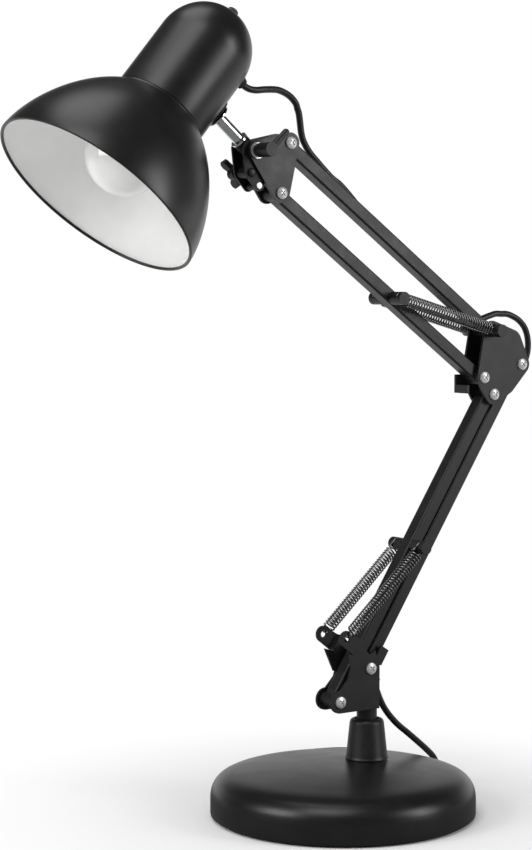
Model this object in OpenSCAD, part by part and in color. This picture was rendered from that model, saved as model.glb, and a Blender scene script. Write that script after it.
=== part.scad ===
// Swing-arm desk lamp on a round weighted base. Millimetres, +Z up.
// The origin is the centre of the base's underside. The arm moves in a plane parallel to XZ.

/* [Base] */
// Diameter of the round base
base_d = 200; // [180:1:240]
// Height of the base's flat top
base_h = 37; // [34:1:50]
// Radius of the flat middle of the top
base_flat_r = 52; // [50:1:60]
// Height of the straight rim wall
base_rim_h = 17; // [14:1:20]
// Sheet thickness of the base cover
base_wall = 1.2; // [0.8:0.1:2]
// Height of the gap between the floor and the cover
base_lift = 2; // [1.5:0.1:2.5]
// Diameter of the iron ballast disc
ballast_d = 160; // [140:1:164]
// Thickness of the iron ballast disc
ballast_h = 12; // [10:0.5:14]
// Thickness of the steel bottom plate
bottom_plate_t = 1.5; // [1:0.1:2]
// Thickness of the foam pad under the base
foot_pad_t = 3; // [2.6:0.1:3.5]

/* [Post] */
// Post's place to the right of the base's centre
post_x = 32; // [28:1:33]
// Post's place behind the base's centre
post_y = 13; // [8:1:14]
// Diameter of the collar at its foot
collar_foot_d = 33; // [30:0.5:34]
// Diameter of the collar at its top
collar_top_d = 25.7; // [24:0.1:28]
// Height of the collar
collar_h = 30.8; // [28:0.1:34]
// Diameter of the post above the collar
post_d = 15.6; // [14.5:0.1:16]
// Diameter of the spindle that turns in the collar
spindle_d = 12.7; // [11:0.1:13]

/* [Linkage] */
// Rear base hinge, to the left of the post's axis
rear_hinge_left = 4; // [3:0.5:5]
// Height of the rear base hinge
rear_hinge_z = 108; // [106:0.5:112]
// Front hinge to the left of the rear hinge
hinge_pair_x = 28.5; // [28.5:0.1:30]
// Front hinge below the rear hinge
hinge_pair_z = 23; // [22:0.1:23]
// Hinge to hinge length of the lower arm
lower_len = 272; // [250:1:320]
// Lean of the lower arm above the horizon
lower_lean = 56.9; // [56.9:0.1:60]
// Hinge to hinge length of the upper arm
upper_len = 237; // [220:1:290]
// Rise of the upper arm above the horizon
upper_rise = 35.9; // [34:0.1:38]
// Under arm's elbow hinge to the left of the front arm's hinge
elbow_step_x = 9.9; // [9.5:0.1:11]
// Under arm's elbow hinge above the front arm's hinge
elbow_step_z = 13.4; // [13:0.1:15]
// Top arm's hinge to the right of the under arm's hinge
head_pair_x = 8.3; // [7:0.1:9]
// Top arm's hinge above the under arm's hinge
head_pair_z = 36.5; // [35:0.1:38]
// Tilt bolt to the left of the top arm's head hinge
tilt_left = 29.3; // [28:0.1:31]
// Tilt bolt below the top arm's head hinge
tilt_below = 6.5; // [5:0.1:8]

/* [Arm bars] */
// Height of a bar across its flat face
bar_w = 10.3; // [9.6:0.1:10.4]
// Depth of a bar from front to back
bar_t = 12; // [11:0.1:13]
// Wall of the bar tube
bar_wall = 1; // [0.8:0.1:1.2]
// Outer corner radius of the bar tube
bar_corner = 1.6; // [1.4:0.1:2]
// Outer diameter of the hinge eyes
eye_d = 11.4; // [11:0.1:11.4]
// Length of a hinge eye from plate to plate
eye_len = 16; // [15:0.1:17]
// Thickness of the bracket plates
plate_t = 2; // [1.5:0.1:2.4]
// Play between an eye and each plate
eye_play = 0.2; // [0.1:0.05:0.3]
// Diameter of the hinge screws
pivot_d = 5; // [4.5:0.1:5.4]
// Diameter of a screw's head
head_d = 8.8; // [8.4:0.1:9.4]
// Height of a screw's head
head_h = 2.6; // [2.2:0.1:3]
// Running fit of a pin in its hole, on the radius
fit = 0.05; // [0.02:0.01:0.09]

/* [Springs] */
// Outer diameter of a balance spring
spring_d = 10; // [9:0.1:10.5]
// Diameter of the spring wire
wire_d = 1.4; // [1.2:0.1:1.6]
// Number of curls in each spring
spring_curls = 15; // [12:1:15]
// Distance of the springs from the arm's middle plane
spring_off = 15; // [14.6:0.1:16]
// Lower spring pin along the front arm from the base hinge
lower_pin_at = 134.5; // [125:0.5:150]
// Upper spring pin along the under arm from the elbow hinge
upper_pin_at = 106; // [100:0.5:120]
// Half length of the lower spring pin
lower_pin_half = 21; // [20:0.1:23]
// Half length of the upper spring pin
upper_pin_half = 19.5; // [19:0.1:22]
// Half length of the elbow spring pin
elbow_pin_half = 22.5; // [20:0.1:24]
// Diameter of the sleeves on the spring pins
sleeve_d = 10; // [9:0.1:10.5]

/* [Head] */
// Angle of the shade's axis above the horizon
shade_lean = 49.7; // [44:0.1:52]
// Distance from the tilt bolt to the shade's axis
rod_reach = 74.7; // [73:0.1:80]
// Distance from the rim to the rod, along the shade's axis
rod_at = 108.7; // [106:0.1:112]
// Outer radius of the shade's rim
rim_r = 79; // [75:0.1:82]
// Depth of the bowl from the rim to the neck
bowl_depth = 79; // [77:0.5:82]
// Outer radius of the neck
neck_r = 34.6; // [33.5:0.1:36]
// Depth of the whole shade from the rim to the dome's top
shade_depth = 170.7; // [168:0.1:176]
// Sheet thickness of the shade and the neck
shade_wall = 1; // [0.8:0.1:1.2]
// Width of the rolled lip at the shade's rim
lip_w = 3; // [2.4:0.1:3.6]
// Diameter of the chrome rod
rod_d = 9.2; // [8.6:0.1:9.8]
// Diameter of the bulb's globe
bulb_d = 56; // [50:1:60]

/* [Lead] */
// Diameter of the mains lead
cord_d = 5; // [4.8:0.1:5]
// Loops in the put-away coil
coil_loops = 8; // [6:2:8]
// Radius of the coil at the middle of its turns
coil_mid_r = 29.5; // [29:0.5:30]
// Thickness of the plug's body
plug_t = 13.7; // [12:0.1:15]
// Width of the plug's body
plug_w = 26; // [24:0.5:30]
// Length of the plug's body
plug_l = 35; // [30:0.5:40]
// Diameter of the plug's pins
plug_pin_d = 4; // [4:0.1:4.8]
// Distance between the plug's pins
plug_pitch = 18.6; // [17.5:0.1:19]
// Length of the plug's pins
plug_pin_l = 19; // [17:0.5:19.5]

/* [Hidden] */
$fn = 64;

// Black, steel and chrome as the pieces are finished
black = "#202022";
satin = "#2b2b2d";
silver = "#c9cacc";
chrome = "#dfe1e4";
rubber = "#161617";
white = "#f2f2ee";
iron = "#4a4644";
clear = 0.3;
skin = 0.15;
thin = 0.01;

// Plates: inner and outer faces on either side of the arm's middle plane
plate_in = eye_len / 2 + eye_play;
plate_out = plate_in + plate_t;
eye_r = eye_d / 2;

// Hinge places in the arm's plane, as [x from the post's axis, z]
function dir(a) = [cos(a), sin(a)];
rear_base = [-rear_hinge_left, rear_hinge_z];
front_base = rear_base - [hinge_pair_x, hinge_pair_z];
lower_arm = lower_len * dir(lower_lean);
rear_elbow = rear_base + lower_arm;
front_elbow = front_base + lower_arm;
under_elbow = front_elbow + [-elbow_step_x, elbow_step_z];
top_elbow = under_elbow + [head_pair_x, head_pair_z];
upper_turn = 180 - upper_rise;
upper_arm = upper_len * dir(upper_turn);
under_head = under_elbow + upper_arm;
top_head = top_elbow + upper_arm;
tilt = top_head - [tilt_left, tilt_below];
lower_pin = front_base + lower_pin_at * dir(lower_lean);
upper_pin = under_elbow + upper_pin_at * dir(upper_turn);
rod_turn = shade_lean + 90;
rim = tilt + rod_reach * dir(rod_turn) - rod_at * dir(shade_lean);

// Lays a flat outline, drawn as [x, z], across the arm's plane from y0 to y1
module slab(y0, y1) {
    translate([0, y1, 0]) rotate([90, 0, 0]) linear_extrude(y1 - y0) children();
}
// A round bar across the arm's plane at p
module pin(p, y0, y1, d) {
    translate([p.x, y1, p.y]) rotate([90, 0, 0]) cylinder(d = d, h = y1 - y0);
}
module on_post() {
    translate([post_x, post_y, 0]) children();
}
// Puts the x axis along a line in the arm's plane that starts at p and climbs at an angle
module along(p, angle) {
    on_post() translate([p.x, 0, p.y]) rotate([0, -angle, 0]) children();
}
module rounded(w, h, r) {
    square([w - 2 * r, h], center = true);
    square([w, h - 2 * r], center = true);
    for (x = [-1, 1], y = [-1, 1]) translate([x * (w / 2 - r), y * (h / 2 - r)]) circle(r);
}
module lengthwise(x0, x1) {
    translate([x0, 0, 0]) rotate([90, 0, 90]) linear_extrude(x1 - x0) children();
}

// Swept tubes: each ring's first spoke is carried on from the ring before it
function unit(v) = v / norm(v);
function tangents(p, first, last) = [
    for (i = [0:len(p) - 1])
        i == 0 ? first : i == len(p) - 1 ? last : unit(unit(p[i + 1] - p[i]) + unit(p[i] - p[i - 1]))
];
function spoke(t) = unit(cross(t, abs(t.z) < 0.9 ? [0, 0, 1] : [1, 0, 0]));
function spokes(t) = [
    for (i = 0, n = spoke(t[0]); i < len(t); i = i + 1, n = i < len(t) ? unit(n - (n * t[i]) * t[i]) : n) n
];
function rings(p, r, sides, first, last) =
    let (t = tangents(p, first, last), n = spokes(t))
    [for (i = [0:len(p) - 1], k = [0:sides - 1])
        p[i] + r * (cos(360 * k / sides) * n[i] + sin(360 * k / sides) * cross(t[i], n[i]))];
function skins(count, sides) = concat(
    [for (i = [0:count - 2], k = [0:sides - 1]) [i * sides + k, (i + 1) * sides + k, i * sides + (k + 1) % sides]],
    [for (i = [0:count - 2], k = [0:sides - 1])
        [i * sides + (k + 1) % sides, (i + 1) * sides + k, (i + 1) * sides + (k + 1) % sides]],
    [for (k = [1:sides - 2]) [0, k, k + 1]],
    [for (k = [1:sides - 2]) [(count - 1) * sides, (count - 1) * sides + k + 1, (count - 1) * sides + k]]
);
function start_of(p) = unit(p[1] - p[0]);
function end_of(p) = unit(p[len(p) - 1] - p[len(p) - 2]);
module tube(p, d, sides) {
    polyhedron(rings(p, d / 2, sides, start_of(p), end_of(p)), skins(len(p), sides), convexity = 10);
}
// A smooth tube through hand-set points, with its end faces square to the first and last steps
module cord(p) {
    q = smooth(p);
    polyhedron(rings(q, cord_d / 2, cord_sides, start_of(p), end_of(p)), skins(len(q), cord_sides), convexity = 10);
}
// A smooth curve through the points, with two steps from each to the next
function bend(a, b, c, d, t) =
    0.5 * (2 * b + (c - a) * t + (2 * a - 5 * b + 4 * c - d) * t * t + (3 * b - a - 3 * c + d) * t * t * t);
function smooth(p) = concat(
    [for (i = [0:len(p) - 2], t = [0, 0.5])
        bend(p[max(i - 1, 0)], p[i], p[i + 1], p[min(i + 2, len(p) - 1)], t)],
    [p[len(p) - 1]]
);
// Least distance between two stretches of one path that lie more than a few steps apart, less the tube
function least_gap(p, d, apart) =
    min([for (i = [0:len(p) - 1 - apart]) min([for (j = [i + apart:len(p) - 1]) norm(p[i] - p[j])])]) - d;

// Base
base_r = base_d / 2;
function base_profile(t) = concat(
    [[0, base_h - t]],
    [for (a = [0:7.5:90])
        [base_flat_r + (base_r - t - base_flat_r) * sin(a), base_rim_h + (base_h - t - base_rim_h) * cos(a)]],
    [[base_r - t, base_lift]]
);
bottom_plate_z = foot_pad_t;
ballast_z = bottom_plate_z + bottom_plate_t;
bolt_d = 10;
bolt_head_h = 6;
bolt_reach = 4.5;
plate_screw_ring = ballast_d / 2 - 12;

module base_shell() {
    color(satin) difference() {
        rotate_extrude($fn = 120) difference() {
            polygon(concat(base_profile(0), [[0, base_lift]]));
            polygon(concat(base_profile(base_wall), [[0, base_lift]]));
        }
        on_post() translate([0, 0, base_h - 2 * base_wall]) cylinder(d = bolt_d + 2 * fit, h = 3 * base_wall);
    }
}
module base_ballast() {
    color(iron) translate([0, 0, ballast_z]) difference() {
        cylinder(d = ballast_d, h = ballast_h);
        for (a = [30, 150, 270]) rotate(a) translate([plate_screw_ring, 0, -thin]) cylinder(d = 4.1, h = 8);
    }
}
module base_plate() {
    color(silver) translate([0, 0, bottom_plate_z]) difference() {
        cylinder(r = base_r - base_wall - clear / 2, h = bottom_plate_t);
        for (a = [30, 150, 270]) rotate(a) translate([plate_screw_ring, 0, -1]) cylinder(d = 4.1, h = bottom_plate_t + 2);
    }
}
module foot_pad() {
    color(rubber) difference() {
        cylinder(r = base_r - base_wall - 3, h = foot_pad_t);
        for (a = [30, 150, 270]) rotate(a) translate([plate_screw_ring, 0, -1]) cylinder(d = 9, h = foot_pad_t + 2);
    }
}
module plate_screws() {
    color(silver) for (a = [30, 150, 270]) rotate(a) translate([plate_screw_ring, 0, 0]) {
        translate([0, 0, bottom_plate_z - 1.8]) cylinder(d = 8, h = 1.8);
        translate([0, 0, bottom_plate_z - thin]) cylinder(d = 4, h = bottom_plate_t + 6.5);
    }
}
collar_top = base_h + collar_h;
socket_floor = base_h + bolt_reach + 1;
module collar() {
    foot_r = collar_foot_d / 2;
    top_r = collar_top_d / 2;
    color(black) on_post() translate([0, 0, base_h]) difference() {
        rotate_extrude($fn = 96) polygon([
            [0, 0], [foot_r, 0], [foot_r - 0.1, 1.2], [top_r + 0.4, collar_h - 3.5], [top_r, collar_h - 2],
            [top_r - 0.8, collar_h - 0.7], [top_r - 2, collar_h], [0, collar_h]
        ]);
        translate([0, 0, -1]) cylinder(d = bolt_d + 2 * fit, h = collar_h);
        translate([0, 0, socket_floor - base_h]) cylinder(d = spindle_d + 2 * fit, h = collar_h);
        translate([0, 0, collar_h - 1.2]) cylinder(d = post_d + 3, h = 2);
    }
}
module collar_bolt() {
    color(silver) on_post() {
        translate([0, 0, base_h - base_wall - bolt_head_h]) cylinder(d = 17, h = bolt_head_h, $fn = 6);
        translate([0, 0, base_h - base_wall - thin]) cylinder(d = bolt_d, h = base_wall + bolt_reach);
    }
}

// Post and base bracket
post_block_z = rear_hinge_z - 30;
post_block_top = rear_hinge_z - eye_r - 3;
bracket_bottom = front_base.y - 8.5;
bracket_right = rear_base.x + 8.5;
module post() {
    color(black) on_post() {
        translate([0, 0, socket_floor + clear]) cylinder(d = spindle_d, h = collar_h);
        translate([0, 0, collar_top - 1.2 + clear]) cylinder(d = post_d, h = post_block_top - collar_top);
        translate([-7, -plate_in, post_block_z]) cube([10.5, 2 * plate_in, post_block_top - post_block_z]);
    }
}
ear = rear_base + [-26.5, 25.5];
ear_r = 6.3;
ear_hole_r = 2.6;
ear_fold_a = rear_base + [-20, 12.5];
ear_fold_b = rear_base + [-11.6, 23];
ear_in = spring_off - 1;
ear_out = spring_off + 1;
module base_side() {
    difference() {
        union() {
            translate(front_base) circle(8.5);
            translate(rear_base) circle(8.5);
            polygon([
                [front_base.x, bracket_bottom], [bracket_right, bracket_bottom], [bracket_right, rear_base.y],
                rear_base + [4.5, 13.5], rear_base + [-1.2, 10.4], ear_fold_b, ear_fold_a,
                rear_base + [-18.1, 2.2], rear_base + [-20.9, -6.6], rear_base + [-25.5, -11.5], front_base + [0, 8.5]
            ]);
        }
        translate(front_base) circle(d = pivot_d + 2 * fit);
        translate(rear_base) circle(d = pivot_d + 2 * fit);
    }
}
// Spring ears: each steps outwards at its fold and carries a ring
module base_ear() {
    slab(ear_in, ear_out) difference() {
        union() {
            translate(ear) circle(ear_r);
            polygon([ear_fold_a, ear_fold_b, ear + [5.2, 3.5], ear + [-4, -4.8]]);
        }
        translate(ear) circle(ear_hole_r);
    }
    slab(plate_in, ear_out) polygon([
        ear_fold_a, ear_fold_b, ear_fold_b + [-1.6, 1.2], ear_fold_a + [-1.6, 1.2]
    ]);
}
// A folded tab that joins the two plates beside an arm, at a distance from the arm's axis
tab_gap = 0.6;
module tab(x0, x1) {
    translate([x0, -plate_in - thin, -bar_w / 2 - tab_gap - plate_t]) cube([x1 - x0, 2 * (plate_in + thin), plate_t]);
}
module tab_root(x0, x1) {
    for (s = [-1, 1]) translate([x0, s * (plate_in + plate_t / 2) - plate_t / 2, -bar_w / 2 - tab_gap - plate_t])
        cube([x1 - x0, plate_t, plate_t + tab_gap + bar_w / 2]);
}
module base_bracket() {
    color(satin) {
        on_post() {
            for (s = [0, 1]) mirror([0, s, 0]) {
                slab(plate_in, plate_out) base_side();
                base_ear();
            }
            slab(plate_in, plate_out) polygon([
                ear_fold_a, rear_base + [-29.5, 15.5], rear_base + [-21.2, -2.6], rear_base + [-16, 0], rear_base + [-16, 12]
            ]);
        }
        along(rear_base, lower_lean) {
            tab(6.5, 19.5);
            tab_root(6.5, 19.5);
        }
    }
}

// Screws and nuts across the hinges
module cross_recess() {
    for (a = [0, 90]) rotate(a) translate([-2.4, -0.55, head_h - 1.3]) cube([4.8, 1.1, 2]);
}
nut_h = 4;
module hinge_screw(p) {
    on_post() {
        pin(p, -plate_out - thin, plate_out + nut_h + 0.8, pivot_d);
        translate([p.x, -plate_out, p.y]) rotate([90, 45, 0]) difference() {
            intersection() {
                cylinder(d = head_d, h = head_h);
                translate([0, 0, head_h - head_d]) sphere(r = head_d, $fn = 96);
            }
            cross_recess();
        }
    }
}
module hinge_nut(p) {
    on_post() translate([p.x, plate_out + nut_h, p.y]) rotate([90, 0, 0]) difference() {
        cylinder(d = 9, h = nut_h, $fn = 6);
        translate([0, 0, -1]) cylinder(d = pivot_d + 2 * fit, h = nut_h + 2);
    }
}
module base_screws() {
    color(silver) for (p = [rear_base, front_base]) hinge_screw(p);
}
module base_nuts() {
    color(silver) for (p = [rear_base, front_base]) hinge_nut(p);
}

// Arm bars and their hinge eyes
tube_from = eye_r + 1;
tongue = 12;
module bar_section(less) {
    rounded(bar_t - 2 * less, bar_w - 2 * less, max(bar_corner - less, 0.3));
}
module bar(len) {
    difference() {
        lengthwise(tube_from, len - tube_from) bar_section(0);
        lengthwise(tube_from - 1, len - tube_from + 1) bar_section(bar_wall);
        children();
    }
}
// The slot lets the cord in at the corner of the tube that is furthest from the front
module cord_slot(x0, x1) {
    translate([x0, -2.5, -bar_w]) cube([x1 - x0, bar_t, bar_w + 2.6]);
}
module eye() {
    difference() {
        union() {
            rotate([90, 0, 0]) cylinder(d = eye_d, h = eye_len, center = true);
            lengthwise(0, tube_from) bar_section(0);
            lengthwise(tube_from - thin, tube_from + tongue) bar_section(bar_wall + fit);
        }
        rotate([90, 0, 0]) cylinder(d = pivot_d + 2 * fit, h = eye_len + 2, center = true);
    }
}
module eyes(len) {
    eye();
    translate([len, 0, 0]) mirror([1, 0, 0]) eye();
}
lower_slot_from = 36;
rear_slot_at_elbow = 34;
slot_len = 30;
module rear_arm_tube() {
    color(satin) along(rear_base, lower_lean) bar(lower_len) {
        cord_slot(lower_slot_from, lower_slot_from + slot_len);
        cord_slot(lower_len - rear_slot_at_elbow - slot_len, lower_len - rear_slot_at_elbow);
    }
}
module rear_arm_eyes() {
    color(black) along(rear_base, lower_lean) eyes(lower_len);
}
module pin_hole(x) {
    translate([x, 0, 0]) rotate([90, 0, 0]) cylinder(d = pivot_d + 2 * fit, h = bar_t + 2, center = true);
}
module front_arm_tube() {
    color(satin) along(front_base, lower_lean) bar(lower_len) pin_hole(lower_pin_at);
}
module front_arm_eyes() {
    color(black) along(front_base, lower_lean) eyes(lower_len);
}
// Spring pin: a steel shaft with a grooved sleeve at each side, from inside to half
groove_r = sleeve_d / 2 - 1.4;
module spring_pin(p, inside, half) {
    on_post() {
        pin(p, -half + 1, half - 1, pivot_d);
        for (s = [0, 1]) mirror([0, s, 0]) {
            pin(p, inside, spring_off - wire_d / 2 - skin, sleeve_d);
            pin(p, spring_off - wire_d, spring_off + wire_d, 2 * groove_r);
            pin(p, spring_off + wire_d / 2 + skin, half, sleeve_d);
        }
    }
}
module lower_spring_pin() {
    color(black) spring_pin(lower_pin, bar_t / 2, lower_pin_half);
}
module upper_spring_pin() {
    color(black) spring_pin(upper_pin, bar_t / 2, upper_pin_half);
}
module elbow_spring_pin() {
    color(black) spring_pin(top_elbow, plate_out, elbow_pin_half);
}

// Elbow bracket: two plates, joined by a web along the upper right edge, with a stop tab on the far plate
stop_x = under_elbow.x - 11.5;
stop_top = under_elbow.y - 6;
stop_h = 6.4;
module elbow_side(lobe) {
    difference() {
        union() {
            hull() {
                translate(top_elbow) circle(7.7, $fn = 32);
                translate(rear_elbow + [-11, 16.7]) circle(11, $fn = 32);
                translate(rear_elbow) circle(7.9, $fn = 32);
                translate(rear_elbow + [-11.5, -19]) circle(3, $fn = 32);
                translate(front_elbow) circle(8.3, $fn = 32);
                translate(under_elbow) circle(6.6, $fn = 32);
            }
            if (lobe) polygon([
                [stop_x - plate_t, stop_top + 8], [under_elbow.x, stop_top + 8],
                [front_elbow.x, stop_top - stop_h], [stop_x - plate_t, stop_top - stop_h]
            ]);
        }
        for (p = [top_elbow, rear_elbow, front_elbow, under_elbow]) translate(p) circle(d = pivot_d + 2 * fit);
    }
}
web_out = dir(24.5);
web_up = dir(114.5);
module elbow_web() {
    slab(-plate_in - thin, plate_in + thin) translate(rear_elbow) polygon([
        7.8 * web_out + 3 * web_up, 7.8 * web_out + 19 * web_up,
        (7.8 - plate_t) * web_out + 19 * web_up, (7.8 - plate_t) * web_out + 3 * web_up
    ]);
}
module elbow_bracket() {
    color(satin) on_post() {
        slab(-plate_out, -plate_in) elbow_side(false);
        slab(plate_in, plate_out) elbow_side(true);
        elbow_web();
        translate([stop_x - plate_t, -bar_t / 2, stop_top - stop_h]) cube([plate_t, bar_t / 2 + plate_out, stop_h]);
    }
}
module elbow_screws() {
    color(silver) for (p = [rear_elbow, front_elbow, under_elbow]) hinge_screw(p);
}
module elbow_nuts() {
    color(silver) for (p = [rear_elbow, front_elbow, under_elbow]) hinge_nut(p);
}

// Upper arm bars run from the elbow to the head
top_slot_at_elbow = 28;
top_slot_at_head = 68;
module top_arm_tube() {
    color(satin) along(top_elbow, upper_turn) bar(upper_len) {
        cord_slot(top_slot_at_elbow, top_slot_at_elbow + slot_len + 4);
        cord_slot(upper_len - top_slot_at_head - 38, upper_len - top_slot_at_head);
    }
}
module top_arm_eyes() {
    color(black) along(top_elbow, upper_turn) eyes(upper_len);
}
module under_arm_tube() {
    color(satin) along(under_elbow, upper_turn) bar(upper_len) pin_hole(upper_pin_at);
}
module under_arm_eyes() {
    color(black) along(under_elbow, upper_turn) eyes(upper_len);
}

// Head plates, tilt bolt and lever
module head_side() {
    difference() {
        hull() {
            translate(top_head) circle(7.6, $fn = 32);
            translate(under_head) circle(7.4, $fn = 32);
            translate(tilt) circle(7.4, $fn = 32);
        }
        for (p = [top_head, under_head, tilt]) translate(p) circle(d = pivot_d + 2 * fit);
    }
}
module head_plates() {
    color(satin) on_post() for (s = [0, 1]) mirror([0, s, 0]) slab(plate_in, plate_out) head_side();
}
module head_screws() {
    color(silver) for (p = [top_head, under_head]) hinge_screw(p);
}
module head_nuts() {
    color(silver) for (p = [top_head, under_head]) hinge_nut(p);
}
washer_t = 1;
hub_l = 18;
lever_l = 18.5;
lever_turn = 43;
bolt_into_hub = 12;
module tilt_bolt() {
    color(chrome) on_post() {
        pin(tilt, -plate_out - washer_t - bolt_into_hub, plate_out + thin, pivot_d);
        pin(tilt, plate_out, plate_out + 3, 9.5);
        slab(-plate_out - washer_t, -plate_out) translate(tilt) difference() {
            circle(5.9);
            circle(d = pivot_d + 2 * fit);
        }
    }
}
module tilt_lever() {
    hub_back = -plate_out - washer_t;
    color(black) on_post() difference() {
        union() {
            pin(tilt, hub_back - 3, hub_back, 8.4);
            pin(tilt, hub_back - hub_l, hub_back - 3 + thin, 10.4);
            translate([tilt.x, hub_back - hub_l + 2.6, tilt.y]) rotate([0, 90 - lever_turn, 0]) {
                cylinder(d = 5.2, h = lever_l);
                translate([0, 0, lever_l]) sphere(d = 5.2);
            }
        }
        pin(tilt, hub_back - bolt_into_hub - clear, hub_back + 1, pivot_d + 2 * fit);
    }
}

// Knuckle: local x runs up the rod from the tilt bolt, local z is square to it
yoke_out = plate_in - eye_play;
yoke_t = 1.6;
yoke_in = yoke_out - yoke_t;
wing_at = [-7.4, 14.4];
yoke_pin = [-18.7, 17];
yoke_bolt_d = 4;
wing_from = plate_out + 0.4;
wing_turn = 17;
module in_knuckle() {
    along(tilt, rod_turn) children();
}
// Outlines of the knuckle are drawn as [distance up the rod, distance to the left of it]
module yoke_side() {
    difference() {
        hull() {
            circle(6.4, $fn = 32);
            translate([6, 2.5]) circle(4.6, $fn = 32);
            translate(wing_at) circle(5, $fn = 32);
            translate(yoke_pin) circle(4, $fn = 32);
        }
        circle(d = pivot_d + 2 * fit);
        translate(wing_at) circle(d = yoke_bolt_d + 2 * fit);
        translate(yoke_pin) circle(d = 3 + 2 * fit);
    }
}
module knuckle_yoke() {
    color(black) in_knuckle() for (s = [0, 1]) mirror([0, s, 0]) slab(yoke_in, yoke_out) yoke_side();
}
module rod_socket() {
    color(black) in_knuckle() difference() {
        union() {
            rotate([90, 0, 0]) cylinder(d = 12, h = 2 * (yoke_in - eye_play), center = true);
            rotate([0, 90, 0]) cylinder(d = 12.4, h = 11);
            slab(-4, 4) polygon([[2, 3], wing_at + [4, 1], wing_at + [-4, -1], [-5, 1]]);
            pin(wing_at, -yoke_in + eye_play, yoke_in - eye_play, 8);
        }
        rotate([90, 0, 0]) cylinder(d = pivot_d + 2 * fit, h = 2 * plate_out, center = true);
        translate([4, 0, 0]) rotate([0, 90, 0]) cylinder(d = rod_d + 2 * fit, h = 12);
        pin(wing_at, -plate_out, plate_out, yoke_bolt_d + 2 * fit);
    }
}
module yoke_fasteners() {
    in_knuckle() {
        color(black) pin(yoke_pin, -yoke_in, yoke_in, 6);
        color(silver) {
            pin(yoke_pin, -yoke_out - 0.1, yoke_out + 0.1, 3);
            pin(wing_at, -yoke_out - 2, -yoke_out, 6.6);
            pin(wing_at, -yoke_out - thin, wing_from + 5, yoke_bolt_d);
            pin(wing_at, yoke_out, wing_from - skin, 5);
        }
    }
}
wing_reach = 11.4;
module wing_nut() {
    color(black) in_knuckle() translate([wing_at.x, wing_from, wing_at.y]) rotate([-90, wing_turn, 0]) difference() {
        union() {
            cylinder(d = 9, h = 7);
            for (s = [-1, 1]) hull() {
                translate([s * 2, 0, 3.5]) rotate([90, 0, 0]) cylinder(d = 5, h = 4, center = true, $fn = 32);
                translate([s * (wing_reach - 3.4), 0, 9]) rotate([90, 0, 0])
                    cylinder(d = 6.8, h = 4, center = true, $fn = 32);
            }
        }
        translate([0, 0, -1]) cylinder(d = yoke_bolt_d + 2 * fit, h = 20);
    }
}

// Shade: local x runs from the rim to the dome, local z is square to it and away from the rod
module in_shade() {
    along(rim, shade_lean) children();
}
// Turns a profile of [radius, distance from the rim] about the shade's axis
module spun(n) {
    rotate([0, 90, 0]) rotate_extrude($fn = n) children();
}
saddle_out = neck_r + 2.7;
strap_t = 1.5;
strap_low = sqrt(pow(neck_r - shade_wall - skin, 2) - 81) - strap_t;
rod_from = rod_reach - 11;
module toward_rod() {
    translate([rod_at, 0, 0]) mirror([0, 0, 1]) children();
}
module shade_rod() {
    color(chrome) in_shade() toward_rod() {
        translate([0, 0, neck_r - 8]) cylinder(d = rod_d - 1.2, h = 16);
        translate([0, 0, saddle_out + 1]) cylinder(d = rod_d, h = rod_reach - 5 - saddle_out - 1);
    }
}
module rod_rings() {
    color(chrome) in_shade() toward_rod() {
        translate([0, 0, saddle_out]) difference() {
            cylinder(d = 19, h = 1);
            translate([0, 0, -1]) cylinder(d = rod_d - 1.2 + 2 * fit, h = 3);
        }
        translate([0, 0, rod_from - 1.6]) difference() {
            cylinder(d = 13.2, h = 1.5);
            translate([0, 0, -1]) cylinder(d = rod_d + 2 * fit, h = 4);
        }
        translate([0, 0, strap_low - 4.5]) difference() {
            cylinder(d = 14, h = 4.5, $fn = 6);
            translate([0, 0, -1]) cylinder(d = rod_d - 1.2 + 2 * fit, h = 8);
        }
    }
}
module rod_saddle() {
    color(black) in_shade() difference() {
        toward_rod() translate([0, 0, neck_r - 3]) cylinder(d = 20.4, h = saddle_out - neck_r + 3);
        rotate([0, 90, 0]) cylinder(r = neck_r + thin, h = shade_depth);
        toward_rod() translate([0, 0, neck_r - 5]) cylinder(d = rod_d - 1.2 + 2 * fit, h = 20);
    }
}
// Bowl: a quarter superellipse from the rim to the neck
bowl_power = 1.228;
function bowl_profile(less) = [
    for (a = [0:6:90])
        let (r = 0.47 * neck_r + (rim_r - less - 0.47 * neck_r) * pow(cos(a), bowl_power))
        let (s = (bowl_depth + 5.7 - less) * pow(sin(a), bowl_power))
        if (r > neck_r - less) [r, s]
];
bowl_end = bowl_depth - 2;
module shade_bowl() {
    outer = bowl_profile(0);
    inner = bowl_profile(shade_wall);
    color(satin) in_shade() {
        spun(120) polygon(concat(
            outer, [[neck_r, bowl_end + 1.4], [neck_r - shade_wall - skin, bowl_end + 1.4]],
            [[neck_r - shade_wall - skin, bowl_end + 9], [neck_r - 2 * shade_wall - skin, bowl_end + 9]],
            [[neck_r - 2 * shade_wall - skin, bowl_end + 0.4]],
            [for (i = [len(inner) - 1:-1:1]) inner[i]],
            [[rim_r - shade_wall - 0.15, 2.2], [rim_r - lip_w, 1.9], [rim_r - lip_w, 0.3], [rim_r - lip_w + 0.3, 0]]
        ));
    }
}
dome_from = shade_depth - neck_r - 1.3;
plate_s = rod_at + 0.7 * (dome_from - rod_at + 3.2);
grommet_at = dome_from + 6.2;
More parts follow.
